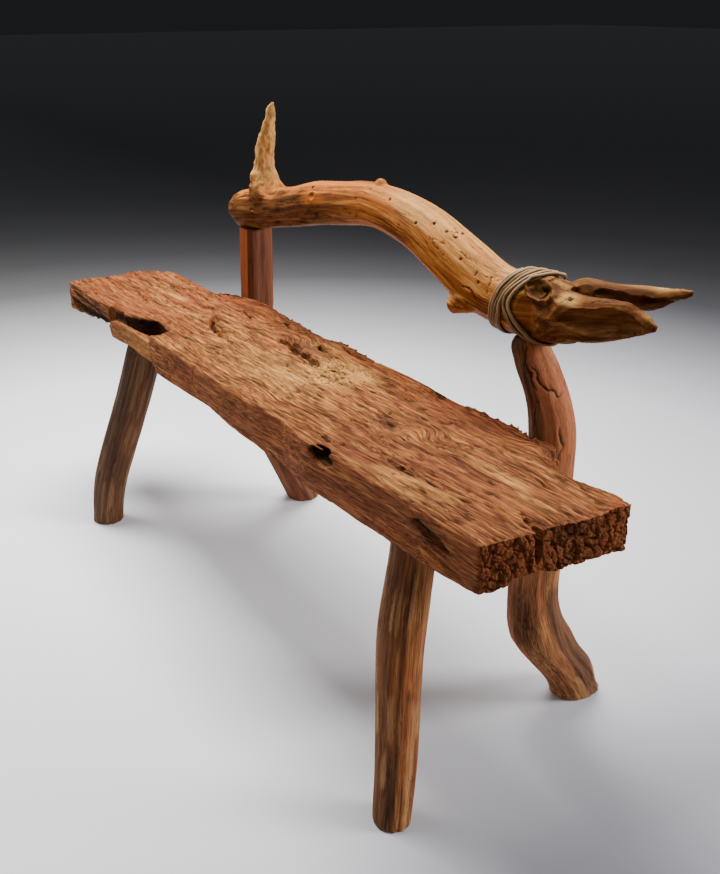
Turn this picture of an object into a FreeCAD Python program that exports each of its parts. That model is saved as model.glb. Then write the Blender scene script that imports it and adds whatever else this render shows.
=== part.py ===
# Driftwood bench: a hewn slab on splayed stick legs, with a back rail grown as one forked branch.
#
# Frame: millimetres, +Z up from the floor, +X to a sitter's left hand where the forked head of
# the rail points, -Y to the front where a sitter's legs hang. The origin lies on the floor
# below the middle of the bench.
#
# The slab takes the tapered stick legs in blind sockets, each tenon spread by a hidden wedge.
# Two posts stand against its back edge, pegged into it. The right one is a crooked branch that
# runs on down to the floor as the fourth leg. The rail lies in shallow flats on both posts,
# held by a dowel in each, and a vine is wound round its neck.

import FreeCAD, Part
import math
import os
import Sketcher
from FreeCAD import Placement, Rotation, Vector

os.makedirs("parts", exist_ok=True)
doc = FreeCAD.newDocument("driftwood_bench")

# Driving sizes, in millimetres.
SIZES = (
    ("seat_long", 1370, "slab, end to end"),
    ("seat_wide", 276, "slab, front edge to back edge at its widest"),
    ("seat_thick", 72, "slab, top to underside at its thickest"),
    ("seat_top", 440, "top of the slab above the floor"),
    ("seat_front", 170, "front edge ahead of the middle of the bench"),
    ("cavity_deep", 42, "rotten pocket in the top, front left"),
    ("hollow_deep", 38, "hole in the front edge"),
    ("front_right_leg_dia", 66, "front right leg at half height"),
    ("front_right_socket_in", 211, "its socket in from the right end"),
    ("front_right_splay_out", 89, "its foot to the right of its socket"),
    ("front_left_leg_dia", 74, "front left leg at half height"),
    ("front_left_socket_in", 299, "its socket in from the left end"),
    ("front_left_splay_out", 56, "its foot to the left of its socket"),
    ("front_socket_back", 60, "front sockets behind the front edge"),
    ("front_splay", 92, "front feet ahead of their sockets"),
    ("back_left_leg_dia", 69, "back left leg at half height"),
    ("back_left_socket_in", 417, "its socket in from the left end"),
    ("back_left_socket_back", 172, "its socket behind the front edge"),
    ("back_left_splay_out", 51, "its foot to the left of its socket"),
    ("back_left_splay_back", 183, "its foot behind its socket"),
    ("tenon_dia", 36, "round tenon on each stick leg"),
    ("tenon_long", 44, "tenon beyond the shoulder"),
    ("wedge_long", 30, "wedge driven into each tenon"),
    ("wedge_thick", 5, "wedge at its thick end"),
    ("wedge_tip", 1.2, "wedge at its thin end"),
    ("left_post_in", 300, "left post in from the left end"),
    ("left_post_wide", 50, "left post along the bench"),
    ("left_post_deep", 58, "left post front to back"),
    ("left_post_chamfer", 9, "hewn corners of the left post"),
    ("left_post_lean", 9, "top of the left post to the right of its foot"),
    ("right_post_in", 224, "right post in from the right end"),
    ("right_post_dia", 69, "right post where it passes the slab"),
    ("right_post_lean", 54, "top of the right post to the left"),
    ("right_foot_out", 40, "its foot to the right"),
    ("right_foot_back", 53, "its foot to the back"),
    ("housing_deep", 8, "posts let into the back edge"),
    ("peg_dia", 12, "pegs through the posts into the slab"),
    ("peg_in", 44, "pegs beyond the post, in the slab"),
    ("rail_dia", 78, "rail over the left post"),
    ("rail_rise", 162, "middle of the rail above the slab at the left post"),
    ("rail_arch", 72, "rise of the rail from there to its crown"),
    ("rail_overhang", 64, "rail beyond the left post"),
    ("head_reach", 248, "forked head beyond the right post's top"),
    ("flat_deep", 6, "flats in the rail's underside on the posts"),
    ("prong_tall", 204, "prong above the middle of the rail"),
    ("prong_dia", 53, "prong above its flare"),
    ("prong_in", 51, "prong to the right of the left post"),
    ("prong_lean", 43, "tip of the prong to the right of its root"),
    ("stub_long", 76, "cut side branch from the middle of the rail"),
    ("stub_dia", 30, "its cut end"),
    ("dowel_dia", 14, "dowels between the posts and the rail"),
    ("dowel_up", 34, "dowels in the rail"),
    ("dowel_down", 30, "dowels in the posts"),
    ("vine_dia", 5, "vine of the lashing"),
    ("vine_pitch_top", 11.5, "step between turns on top"),
    ("vine_pitch_side", 8, "step between turns at the sides"),
    ("vine_pitch_under", 6.2, "step between turns underneath"),
    ("vine_split", 6, "extra room at the sides between the left turns and the right ones"),
    ("vine_lift", 1.7, "middle line of a strand lifted off the bark by this beyond its radius"),
    ("fit_gap", 0.3, "glue line round tenons, pegs, dowels and posts"),
    ("overrun", 5, "how far a cutting tool passes the face that it cuts"),
)

sheet = doc.addObject("Spreadsheet::Sheet", "Sizes")
for row, (alias, value, meaning) in enumerate(SIZES, start=1):
    sheet.set(f"A{row}", alias)
    sheet.set(f"B{row}", str(value))
    sheet.set(f"C{row}", meaning)
    sheet.setAlias(f"B{row}", alias)
doc.recompute()


def bind(thing, prop, formula):
    """Tie one property to the sizes."""
    thing.setExpression(prop, formula)


def measure(formula):
    """The value of a formula, in millimetres or degrees, with the sizes as they stand."""
    return float(sheet.evalExpression(formula.replace("Sizes.", "")))


# Places that several pieces share, as formulas of the sizes.
UNDERSIDE = "(Sizes.seat_top - Sizes.seat_thick)"
LEFT_HEWN_SHARE = 0.11
LEFT_UNDERSIDE = f"({UNDERSIDE} + Sizes.seat_thick * {LEFT_HEWN_SHARE})"
BACK_EDGE = "(Sizes.seat_wide - Sizes.seat_front)"
HOUSING_FLOOR = f"({BACK_EDGE} - Sizes.housing_deep)"
LEFT_POST_X = "(Sizes.left_post_in - Sizes.seat_long / 2)"
LEFT_POST_Y = f"({HOUSING_FLOOR} + Sizes.left_post_deep / 2)"
RIGHT_POST_X = "(Sizes.seat_long / 2 - Sizes.right_post_in)"
RIGHT_POST_Y = f"({HOUSING_FLOOR} + Sizes.right_post_dia / 2)"
RIGHT_TOP_X = f"({RIGHT_POST_X} - Sizes.right_post_lean)"
RAIL_LEFT_Z = "(Sizes.seat_top + Sizes.rail_rise)"
NECK_DIP_SHARE = -0.10
NECK_DIA_SHARE = 1.18
RAIL_RIGHT_Z = f"({RAIL_LEFT_Z} + Sizes.rail_arch * {NECK_DIP_SHARE})"
LEFT_FLAT_Z = f"({RAIL_LEFT_Z} - Sizes.rail_dia / 2 + Sizes.flat_deep)"
RIGHT_FLAT_Z = f"({RAIL_RIGHT_Z} - Sizes.rail_dia * {NECK_DIA_SHARE} / 2 + Sizes.flat_deep)"


def origin_plane(body, role):
    """One of a body's own base planes."""
    return [plane for plane in body.Origin.OriginFeatures if plane.Role == role][0]


def draw_outline(sketch, corners):
    """Draw a closed outline of straight facets, every corner tied to the sizes."""
    places = [Vector(measure(across), measure(up), 0) for across, up in corners]
    count = len(places)
    sides = [Part.LineSegment(places[number], places[(number + 1) % count])
             for number in range(count)]
    sketch.addGeometry(sides, False)
    ties = [Sketcher.Constraint("Coincident", number, 2, (number + 1) % count, 1)
            for number in range(count)]
    for number, spot in enumerate(places):
        ties.append(Sketcher.Constraint("DistanceX", -1, 1, number, 1, spot.x))
        ties.append(Sketcher.Constraint("DistanceY", -1, 1, number, 1, spot.y))
    sketch.addConstraint(ties)
    for number, (across, up) in enumerate(corners):
        bind(sketch, f"Constraints[{count + number * 2}]", across)
        bind(sketch, f"Constraints[{count + number * 2 + 1}]", up)


def outline(body, name, role, corners, offset="0"):
    """An outline sketched in one of a body's own planes."""
    sketch = body.newObject("Sketcher::SketchObject", name)
    sketch.AttachmentSupport = [(origin_plane(body, role), "")]
    sketch.MapMode = "FlatFace"
    bind(sketch, "AttachmentOffset.Base.z", offset)
    draw_outline(sketch, corners)
    return sketch


def pocket(body, name, sketch, depth=None):
    """Cut the sketch into the body by a depth, or right through both ways, and prove it cut."""
    doc.recompute()
    before = body.Shape.Volume
    cut = body.newObject("PartDesign::Pocket", name)
    cut.Profile = sketch
    if depth is None:
        cut.Type = "ThroughAll"
        cut.Midplane = True
    else:
        bind(cut, "Length", depth)
    doc.recompute()
    assert body.Shape.Volume < before, f"{name} cut nothing"
    return cut


RING_SIDES = 12
RING_GROW_SHARE = 1.017


def ring(name, x, y, z, dia, oval_share, tilt=None, grow="0", long_way_back=False):
    """One many-sided section through a stick, with the flats that a drawknife leaves.

    It is level, or tilted about Y with a branch's slope. Its longer way lies along the bench,
    or front to back where that is asked.
    """
    section = doc.addObject("Sketcher::SketchObject", name)
    if tilt:
        section.Placement = Placement(Vector(), Rotation(Vector(0, 1, 0), 1))
    elif long_way_back:
        section.Placement = Placement(Vector(), Rotation(Vector(0, 0, 1), 90))
    long_half = f"(({dia}) / 2 + {grow})"
    short_half = f"(({dia}) / 2 * {oval_share} + {grow})"
    corners = []
    for number in range(RING_SIDES):
        angle = 2 * math.pi * number / RING_SIDES
        corners.append((f"{long_half} * {RING_GROW_SHARE * math.cos(angle):.4f}",
                        f"{short_half} * {RING_GROW_SHARE * math.sin(angle):.4f}"))
    draw_outline(section, corners)
    bind(section, "Placement.Base.x", x)
    bind(section, "Placement.Base.y", y)
    bind(section, "Placement.Base.z", z)
    if tilt:
        bind(section, "Placement.Rotation.Angle", tilt)
    return section


def loft(name, rings):
    """A smooth solid through the sections."""
    solid = doc.addObject("Part::Loft", name)
    solid.Sections = rings
    solid.Solid = True
    solid.Ruled = False
    return solid


def cylinder(name, dia, length, placement):
    """A round tenon or a bore, its place given as a formula."""
    bar = doc.addObject("Part::Cylinder", name)
    bind(bar, "Radius", f"({dia}) / 2")
    bind(bar, "Height", length)
    bind(bar, "Placement", placement)
    return bar


def whittled_pin(name, dia, length, placement):
    """A peg or dowel shaved to eight sides, whose corners bite in a round bore."""
    pin = doc.addObject("Part::Prism", name)
    pin.Polygon = 8
    bind(pin, "Circumradius", f"({dia}) / 2")
    bind(pin, "Height", length)
    bind(pin, "Placement", placement)
    return pin


def place(x, y, z, turn="create(<<rotation>>; create(<<vector>>; 0; 0; 1); 0)"):
    """A placement as a formula."""
    return f"create(<<placement>>; create(<<vector>>; {x}; {y}; {z}); {turn})"


def fuse(name, shapes):
    """Join solids that are one piece of wood."""
    joined = doc.addObject("Part::MultiFuse", name)
    joined.Shapes = shapes
    return joined


def cut(name, base, tools):
    """Cut one or more tools from a base."""
    tool = tools[0] if len(tools) == 1 else fuse(name + "_tools", tools)
    result = doc.addObject("Part::Cut", name)
    result.Base = base
    result.Tool = tool
    return result


nodes = {}


def keep(node, thing):
    """Label a finished piece with its node's name."""
    thing.Label = node
    nodes[node] = thing


# The slab, first as bare wood: its plan, the hewn underside, and the rotten hollows.
# Corners go round from the far left front. Across is a share of seat_long from the middle,
# back is a share of seat_wide from the front edge.
SLAB_PLAN_SHARES = (
    (-0.491, 0.033), (-0.387, 0.025), (-0.278, 0.055), (-0.180, 0.050), (-0.146, -0.010),
    (0.052, -0.015), (0.175, 0.000), (0.232, -0.028), (0.356, -0.010), (0.488, 0.004),
    (0.497, 0.240), (0.493, 0.330), (0.499, 0.560), (0.500, 0.786), (0.473, 0.790),
    (0.437, 0.766), (0.412, 0.786), (0.394, 0.870), (0.369, 0.980), (0.326, 0.975),
    (0.310, 0.996), (0.230, 0.964), (0.080, 0.957), (-0.019, 0.989), (-0.048, 0.942),
    (-0.124, 0.975), (-0.204, 1.000), (-0.276, 1.000), (-0.297, 0.971), (-0.311, 0.924),
    (-0.316, 0.835), (-0.446, 0.851), (-0.476, 0.808), (-0.481, 0.739), (-0.496, 0.554),
    (-0.489, 0.322), (-0.500, 0.200),
)
# The underside seen from the front: share of seat_long, share of seat_thick above the lowest.
SLAB_UNDER_SHARES = (
    (-0.510, 0.15), (-0.431, 0.21), (-0.334, 0.40), (-0.322, LEFT_HEWN_SHARE),
    (-0.120, LEFT_HEWN_SHARE), (0.010, 0.21), (0.060, 0.06), (0.140, 0.00), (0.430, 0.00),
    (0.510, 0.12),
)
# The rotten pocket behind the splintered tongue, in the same shares as the plan.
CAVITY_SHARES = (
    (-0.288, 0.040), (-0.286, 0.078), (-0.252, 0.112), (-0.225, 0.190), (-0.200, 0.178),
    (-0.178, 0.160), (-0.166, 0.060), (-0.185, 0.040), (-0.250, 0.028),
)
# The hole in the front edge, seen from the front: shares of seat_long and of seat_thick.
FRONT_HOLLOW_SHARES = (
    (0.219, 0.74), (0.222, 0.88), (0.236, 0.95), (0.262, 0.93), (0.275, 0.84), (0.272, 0.66),
    (0.255, 0.55), (0.232, 0.60),
)
# The drying split that opens at the right end.
END_SPLIT_SHARES = ((0.455, 0.330), (0.510, 0.262), (0.510, 0.322))
END_SPLIT_DEEP_SHARE = 0.62


def seat_x(share):
    return f"(Sizes.seat_long * {share})"


def seat_y(share):
    return f"(Sizes.seat_wide * {share} - Sizes.seat_front)"


def seat_z(share):
    return f"({UNDERSIDE} + Sizes.seat_thick * {share})"


def on_plan(shares):
    return [(seat_x(across), seat_y(back)) for across, back in shares]


slab = doc.addObject("PartDesign::Body", "slab")
plan = outline(slab, "slab_plan", "XY_Plane", on_plan(SLAB_PLAN_SHARES), UNDERSIDE)
plank = slab.newObject("PartDesign::Pad", "slab_pad")
plank.Profile = plan
bind(plank, "Length", "Sizes.seat_thick")

under_corners = [(seat_x(across), seat_z(up)) for across, up in SLAB_UNDER_SHARES]
below = f"({UNDERSIDE} - Sizes.overrun)"
under_corners.append((under_corners[-1][0], below))
under_corners.append((under_corners[0][0], below))
pocket(slab, "hewn_underside", outline(slab, "underside_line", "XZ_Plane", under_corners))
cavity = outline(slab, "cavity_line", "XY_Plane", on_plan(CAVITY_SHARES), "Sizes.seat_top")
pocket(slab, "rotten_cavity", cavity, "Sizes.cavity_deep")
hollow_corners = [(seat_x(across), seat_z(up)) for across, up in FRONT_HOLLOW_SHARES]
hollow = outline(slab, "hollow_line", "XZ_Plane", hollow_corners,
                 "Sizes.seat_front + Sizes.overrun")
pocket(slab, "front_hollow", hollow, "Sizes.hollow_deep + Sizes.overrun")
split = outline(slab, "split_line", "XY_Plane", on_plan(END_SPLIT_SHARES), "Sizes.seat_top")
pocket(slab, "end_split", split, f"Sizes.seat_thick * {END_SPLIT_DEEP_SHARE}")

slab_tools = []

# The three stick legs. Each has a foot on the floor, a socket in the slab and a shoulder
# height. A station is (height, girth, oval, bow), the bow a share of its girth to the front.
LEG_ROOT_SHARE = 0.93
WEDGE_WIDE_SHARE = 0.88
KERF_WIDE_SHARE = 1.2
FRONT_RIGHT_SHARES = ((0, 0.82, 0.94, 0), (0.10, 0.86, 0.96, 0), (0.30, 0.92, 0.95, 0.02),
                      (0.53, 0.99, 0.97, 0.10), (0.78, 1.00, 0.96, 0.04), (1, 0.96, 0.97, 0))
FRONT_LEFT_SHARES = ((0, 0.88, 0.96, 0), (0.15, 0.91, 0.95, 0.13), (0.32, 0.96, 0.97, 0.17),
                     (0.60, 1.00, 0.96, 0.07), (0.84, 1.00, 0.96, 0.01), (1, 0.98, 0.97, 0))
BACK_LEFT_SHARES = ((0, 1.04, 0.95, 0), (0.18, 1.02, 0.97, 0), (0.45, 1.00, 0.96, 0.03),
                    (0.75, 0.97, 0.97, 0.02), (1, 0.95, 0.98, 0))


def wedge_body(name, leg_place, grow, wide):
    """The blind wedge, or its kerf when grown, standing in the frame of its tenon."""
    body = doc.addObject("PartDesign::Body", name)
    low = "(Sizes.tenon_long - Sizes.wedge_long)"
    corners = [(f"-(Sizes.wedge_tip / 2 + {grow})", low),
               (f"Sizes.wedge_tip / 2 + {grow}", low),
               (f"Sizes.wedge_thick / 2 + {grow}", f"Sizes.tenon_long + {grow} * 2"),
               (f"-(Sizes.wedge_thick / 2 + {grow})", f"Sizes.tenon_long + {grow} * 2")]
    sketch = outline(body, name + "_side", "XZ_Plane", corners)
    pad = body.newObject("PartDesign::Pad", name + "_pad")
    pad.Profile = sketch
    pad.Midplane = True
    bind(pad, "Length", wide)
    bind(body, "Placement", leg_place)
    return body


def stick_leg(node, wedge_node, foot, socket, shoulder, dia, shares):
    """A tapered stick, its round tenon tilted with it, and the wedge that spreads the tenon."""
    run_x = f"({socket[0]} - {foot[0]})"
    run_y = f"({socket[1]} - {foot[1]})"
    level = f"sqrt({run_x} * {run_x} + {run_y} * {run_y})"
    length = f"sqrt({run_x} * {run_x} + {run_y} * {run_y} + {shoulder} * {shoulder})"
    turn = (f"create(<<rotation>>; create(<<vector>>; -{run_y}; {run_x}; 0); "
            f"atan2({level}; {shoulder}))")
    rings = []
    for number, (up, girth, oval, bow) in enumerate(shares):
        x = f"{foot[0]} + {run_x} * {up}"
        y = f"{foot[1]} + {run_y} * {up} - {dia} * {bow}"
        rings.append(ring(f"{node}_ring_{number}", x, y, f"{shoulder} * {up}",
                          f"{dia} * {girth}", oval))
    stick = loft(node + "_stick", rings)
    root = place(f"{foot[0]} + {run_x} * {LEG_ROOT_SHARE}",
                 f"{foot[1]} + {run_y} * {LEG_ROOT_SHARE}", f"{shoulder} * {LEG_ROOT_SHARE}", turn)
    reach = f"({length} * {1 - LEG_ROOT_SHARE:.2f} + Sizes.tenon_long)"
    tenon = cylinder(node + "_tenon", "Sizes.tenon_dia", reach, root)
    mortise = cylinder(node + "_mortise", "Sizes.tenon_dia + Sizes.fit_gap * 2",
                       f"{reach} + Sizes.fit_gap * 2", root)
    slab_tools.append(mortise)
    frame = place(socket[0], socket[1], shoulder, turn)
    kerf = wedge_body(node + "_kerf", frame, "Sizes.fit_gap", f"Sizes.tenon_dia * {KERF_WIDE_SHARE}")
    keep(node, cut(node, fuse(node + "_whole", [stick, tenon]), [kerf]))
    width = f"Sizes.tenon_dia * {WEDGE_WIDE_SHARE}"
    keep(wedge_node, wedge_body(wedge_node, frame, "0", width))


LEFT_END = "-Sizes.seat_long / 2"
RIGHT_END = "Sizes.seat_long / 2"
FRONT_SOCKET_Y = "(Sizes.front_socket_back - Sizes.seat_front)"
FRONT_RIGHT_SOCKET_X = f"({RIGHT_END} - Sizes.front_right_socket_in)"
FRONT_LEFT_SOCKET_X = f"({LEFT_END} + Sizes.front_left_socket_in)"
BACK_LEFT_SOCKET_X = f"({LEFT_END} + Sizes.back_left_socket_in)"
BACK_LEFT_SOCKET_Y = "(Sizes.back_left_socket_back - Sizes.seat_front)"
stick_leg("front_right_leg", "front_right_wedge",
          (f"({FRONT_RIGHT_SOCKET_X} + Sizes.front_right_splay_out)",
           f"({FRONT_SOCKET_Y} - Sizes.front_splay)"),
          (FRONT_RIGHT_SOCKET_X, FRONT_SOCKET_Y), UNDERSIDE,
          "Sizes.front_right_leg_dia", FRONT_RIGHT_SHARES)
stick_leg("front_left_leg", "front_left_wedge",
          (f"({FRONT_LEFT_SOCKET_X} - Sizes.front_left_splay_out)",
           f"({FRONT_SOCKET_Y} - Sizes.front_splay)"),
          (FRONT_LEFT_SOCKET_X, FRONT_SOCKET_Y), LEFT_UNDERSIDE,
          "Sizes.front_left_leg_dia", FRONT_LEFT_SHARES)
stick_leg("back_left_leg", "back_left_wedge",
          (f"({BACK_LEFT_SOCKET_X} - Sizes.back_left_splay_out)",
           f"({BACK_LEFT_SOCKET_Y} + Sizes.back_left_splay_back)"),
          (BACK_LEFT_SOCKET_X, BACK_LEFT_SOCKET_Y), LEFT_UNDERSIDE,
          "Sizes.back_left_leg_dia", BACK_LEFT_SHARES)


# The left post: a hewn stick with flattened corners, leaning a little.
def post_corners(shift, grow):
    """Eight corners of the hewn section, moved along the bench by a lean."""
    half_x = f"(Sizes.left_post_wide / 2 + {grow})"
    half_y = f"(Sizes.left_post_deep / 2 + {grow})"
    side_x = f"({half_x} - Sizes.left_post_chamfer)"
    side_y = f"({half_y} - Sizes.left_post_chamfer)"
    corners = [(f"-{side_x}", f"-{half_y}"), (side_x, f"-{half_y}"), (half_x, f"-{side_y}"),
               (half_x, side_y), (side_x, half_y), (f"-{side_x}", half_y),
               (f"-{half_x}", side_y), (f"-{half_x}", f"-{side_y}")]
    return [(f"{LEFT_POST_X} + {shift} + {x}", f"{LEFT_POST_Y} + {y}") for x, y in corners]


def left_post_body(name, grow):
    body = doc.addObject("PartDesign::Body", name)
    bottom = outline(body, name + "_bottom", "XY_Plane", post_corners("0", grow), LEFT_UNDERSIDE)
    top = outline(body, name + "_top", "XY_Plane",
                  post_corners("Sizes.left_post_lean", grow), LEFT_FLAT_Z)
    doc.recompute()
    hewn = body.newObject("PartDesign::AdditiveLoft", name + "_hewn")
    hewn.Profile = bottom
    hewn.Sections = [top]
    hewn.Ruled = True
    return body


left_post = left_post_body("left_post", "0")
slab_tools.append(left_post_body("left_housing", "Sizes.fit_gap"))

# The right post: one crooked branch from the floor to the rail. Below the slab a station is
# (height, foot-out, foot-back, girth, oval) and above the underside (height, lean, girth, oval),
# all shares of the named sizes. Its sections are longer front to back, most where it bends.
LOWER_BRANCH_SHARES = (
    (0.00, 0.72, 1.13, 1.24, 0.80), (0.08, 0.62, 0.93, 1.25, 0.84), (0.17, 0.56, 0.54, 1.37, 0.80),
    (0.27, 0.46, 0.03, 1.44, 0.78), (0.36, 0.34, -0.26, 1.38, 0.83), (0.45, 0.24, -0.40, 1.21, 0.93),
    (0.55, 0.16, -0.40, 1.14, 0.96), (0.72, 0.10, -0.23, 1.07, 0.97), (0.90, 0.07, -0.05, 1.02, 0.98),
)
UPPER_BRANCH_SHARES = (
    (0.02, -0.04, 1.00, 0.99), (0.27, 0.00, 1.00, 0.99), (0.50, 0.17, 0.97, 0.98),
    (0.59, 0.30, 0.95, 0.98), (0.70, 0.52, 0.96, 0.97), (0.84, 0.83, 0.91, 0.96),
    (0.92, 1.00, 0.84, 0.96), (0.97, 1.00, 0.75, 0.96), (1.00, 0.94, 0.62, 0.96),
)
RIGHT_REACH = f"({RIGHT_FLAT_Z} - {UNDERSIDE})"


def right_post_solid(name, grow):
    rings = []
    for up, out, back, girth, oval in LOWER_BRANCH_SHARES:
        rings.append(ring(f"{name}_ring_{len(rings)}",
                          f"{RIGHT_POST_X} + Sizes.right_foot_out * {out}",
                          f"{RIGHT_POST_Y} + Sizes.right_foot_back * {back}",
                          f"{UNDERSIDE} * {up}", f"Sizes.right_post_dia * {girth}", oval,
                          grow=grow, long_way_back=True))
    for up, lean, girth, oval in UPPER_BRANCH_SHARES:
        rings.append(ring(f"{name}_ring_{len(rings)}",
                          f"{RIGHT_POST_X} - Sizes.right_post_lean * {lean}", RIGHT_POST_Y,
                          f"{UNDERSIDE} + {RIGHT_REACH} * {up}",
                          f"Sizes.right_post_dia * {girth}", oval, grow=grow,
                          long_way_back=True))
    return loft(name, rings)


right_post = right_post_solid("right_branch", "0")
slab_tools.append(right_post_solid("right_housing", "Sizes.fit_gap"))

# Pegs: two through each post into the back edge, driven from behind. Each leaves a bore in
# the post and in the slab.
PEG_HEIGHT_SHARES = (("upper", 0.70), ("lower", 0.34))
PEG_SUNK_SHARE = 0.03
FORWARD = "create(<<rotation>>; create(<<vector>>; 1; 0; 0); 90)"


def pegs(post_node, x, post_y, post_deep):
    """Both pegs of a post: returns the bores that cut it."""
    bores = []
    for which, share in PEG_HEIGHT_SHARES:
        back = f"({post_y} + {post_deep} * {0.5 - PEG_SUNK_SHARE})"
        length = f"({post_deep} * {1 - PEG_SUNK_SHARE} + Sizes.peg_in)"
        peg = whittled_pin(f"{post_node}_peg_{which}", "Sizes.peg_dia", length,
                           place(x, back, seat_z(share), FORWARD))
        bore_back = f"({back} + Sizes.overrun + {post_deep} * {PEG_SUNK_SHARE})"
        bore_length = f"({length} + Sizes.overrun + {post_deep} * {PEG_SUNK_SHARE} + Sizes.fit_gap)"
        bore = cylinder(f"{post_node}_peg_bore_{which}", "Sizes.peg_dia + Sizes.fit_gap * 2",
                        bore_length, place(x, bore_back, seat_z(share), FORWARD))
        bores.append(bore)
        keep(f"{post_node}_peg_{which}", peg)
    return bores


left_bores = pegs("back_left_post", LEFT_POST_X, LEFT_POST_Y, "Sizes.left_post_deep")
right_bores = pegs("back_right_post", RIGHT_POST_X, RIGHT_POST_Y, "Sizes.right_post_dia")
keep("seat_plank", cut("seat", slab, slab_tools + left_bores + right_bores))

# Dowels that stand in the post tops and hold the rail.
LEFT_TOP_X = f"({LEFT_POST_X} + Sizes.left_post_lean)"
RIGHT_DOWEL_SHARE = 0.20
RIGHT_DOWEL_X = f"({RIGHT_TOP_X} + Sizes.right_post_lean * {RIGHT_DOWEL_SHARE})"


def dowel(node, x, y, flat_z):
    """A dowel and the bore it stands in."""
    length = "Sizes.dowel_down + Sizes.dowel_up"
    keep(node, whittled_pin(node, "Sizes.dowel_dia", length,
                            place(x, y, f"{flat_z} - Sizes.dowel_down")))
    return cylinder(node + "_bore", "Sizes.dowel_dia + Sizes.fit_gap * 2",
                    f"{length} + Sizes.fit_gap * 2",
                    place(x, y, f"{flat_z} - Sizes.dowel_down - Sizes.fit_gap"))


left_dowel_bore = dowel("left_rail_dowel", LEFT_TOP_X, LEFT_POST_Y, LEFT_FLAT_Z)
right_dowel_bore = dowel("right_rail_dowel", RIGHT_DOWEL_X, RIGHT_POST_Y, RIGHT_FLAT_Z)
keep("back_left_post", cut("left_post_bored", left_post, left_bores + [left_dowel_bore]))
keep("back_right_post", cut("right_post_bored", right_post, right_bores + [right_dowel_bore]))

# The rail: one grown branch. Its stations run from the blunt left end over the crown to the
# head, each (along, height, girth, oval): along is a share of the overhang, of the span
# between the posts or of the head's reach, height of rail_arch and girth of rail_dia.
OVERHANG_SHARES = ((1.00, -0.20, 0.38, 0.95), (0.92, -0.18, 0.64, 0.95), (0.76, -0.14, 0.82, 0.94),
                   (0.50, -0.08, 0.93, 0.93), (0.25, -0.04, 0.98, 0.93))
SPAN_SHARES = (
    (0.00, 0.00, 1.00, 0.93), (0.073, 0.14, 0.99, 0.92), (0.216, 0.42, 0.94, 0.95),
    (0.312, 0.66, 0.98, 0.93), (0.405, 0.81, 0.95, 0.95), (0.528, 0.98, 0.93, 0.96),
    (0.615, 0.91, 0.97, 0.94), (0.703, 0.70, 1.04, 0.92), (0.782, 0.37, 1.12, 0.90),
    (0.850, 0.085, 1.15, 0.88), (0.922, -0.09, 1.07, 0.90),
    (1.00, NECK_DIP_SHARE, NECK_DIA_SHARE, 0.88),
)
HEAD_SHARES = ((0.12, -0.06, 1.17, 0.86), (0.23, -0.02, 1.10, 0.84), (0.34, 0.03, 0.96, 0.82))
HEAD_FORWARD_SHARE = 0.20
# The fork: stations of each jaw, (along, height, forward, girth, oval), forward a share of
# rail_dia towards the front.
FRONT_JAW_SHARES = (
    (0.19, 0.01, 0.20, 0.79, 0.75), (0.32, 0.06, 0.30, 0.83, 0.66), (0.423, 0.10, 0.34, 0.83, 0.60),
    (0.56, 0.17, 0.36, 0.76, 0.55), (0.69, 0.28, 0.36, 0.67, 0.52), (0.815, 0.36, 0.36, 0.50, 0.50),
    (0.903, 0.375, 0.36, 0.29, 0.60), (0.948, 0.35, 0.36, 0.11, 0.80),
)
REAR_JAW_SHARES = (
    (0.13, 0.18, -0.06, 0.46, 0.90), (0.28, 0.36, -0.13, 0.43, 0.85), (0.423, 0.49, -0.16, 0.38, 0.85),
    (0.589, 0.556, -0.16, 0.35, 0.85), (0.75, 0.61, -0.16, 0.42, 0.70), (0.839, 0.71, -0.16, 0.30, 0.75),
    (0.923, 0.82, -0.16, 0.20, 0.80), (1.00, 0.89, -0.16, 0.09, 0.90),
)
POST_SHIFT = f"({RIGHT_POST_Y} - {LEFT_POST_Y})"
SPAN = f"({RIGHT_TOP_X} - {LEFT_POST_X})"


def rail_z(share):
    return f"({RAIL_LEFT_Z} + Sizes.rail_arch * {share})"


def head_x(share):
    return f"({RIGHT_TOP_X} + Sizes.head_reach * {share})"


def sloped_rings(name, stations):
    """Sections square to a branch that runs in an upright plane: (x, y, z, dia, oval)."""
    rings = []
    for number, (x, y, z, dia, oval) in enumerate(stations):
        before = stations[max(number - 1, 0)]
        after = stations[min(number + 1, len(stations) - 1)]
        tilt = f"90 - atan2({after[2]} - {before[2]}; {after[0]} - {before[0]}) / 1 deg"
        rings.append(ring(f"{name}_ring_{number}", x, y, z, dia, oval, tilt))
    return rings


rail_stations = []
for along, height, girth, oval in OVERHANG_SHARES:
    rail_stations.append((f"({LEFT_POST_X} - Sizes.rail_overhang * {along})", LEFT_POST_Y,
                          rail_z(height), f"Sizes.rail_dia * {girth}", oval))
for along, height, girth, oval in SPAN_SHARES:
    rail_stations.append((f"({LEFT_POST_X} + {SPAN} * {along})",
                          f"({LEFT_POST_Y} + {POST_SHIFT} * {along})",
                          rail_z(height), f"Sizes.rail_dia * {girth}", oval))
for along, height, girth, oval in HEAD_SHARES:
    rail_stations.append((head_x(along),
                          f"({RIGHT_POST_Y} - Sizes.rail_dia * {along} * {HEAD_FORWARD_SHARE})",
                          rail_z(height), f"Sizes.rail_dia * {girth}", oval))
rail_trunk = loft("rail_trunk", sloped_rings("rail_trunk", rail_stations))


def jaw(name, shares):
    stations = []
    for along, height, forward, girth, oval in shares:
        stations.append((head_x(along), f"({RIGHT_POST_Y} - Sizes.rail_dia * {forward})",
                         rail_z(height), f"Sizes.rail_dia * {girth}", oval))
    return loft(name, sloped_rings(name, stations))


front_jaw = jaw("front_jaw", FRONT_JAW_SHARES)
rear_jaw = jaw("rear_jaw", REAR_JAW_SHARES)

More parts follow.
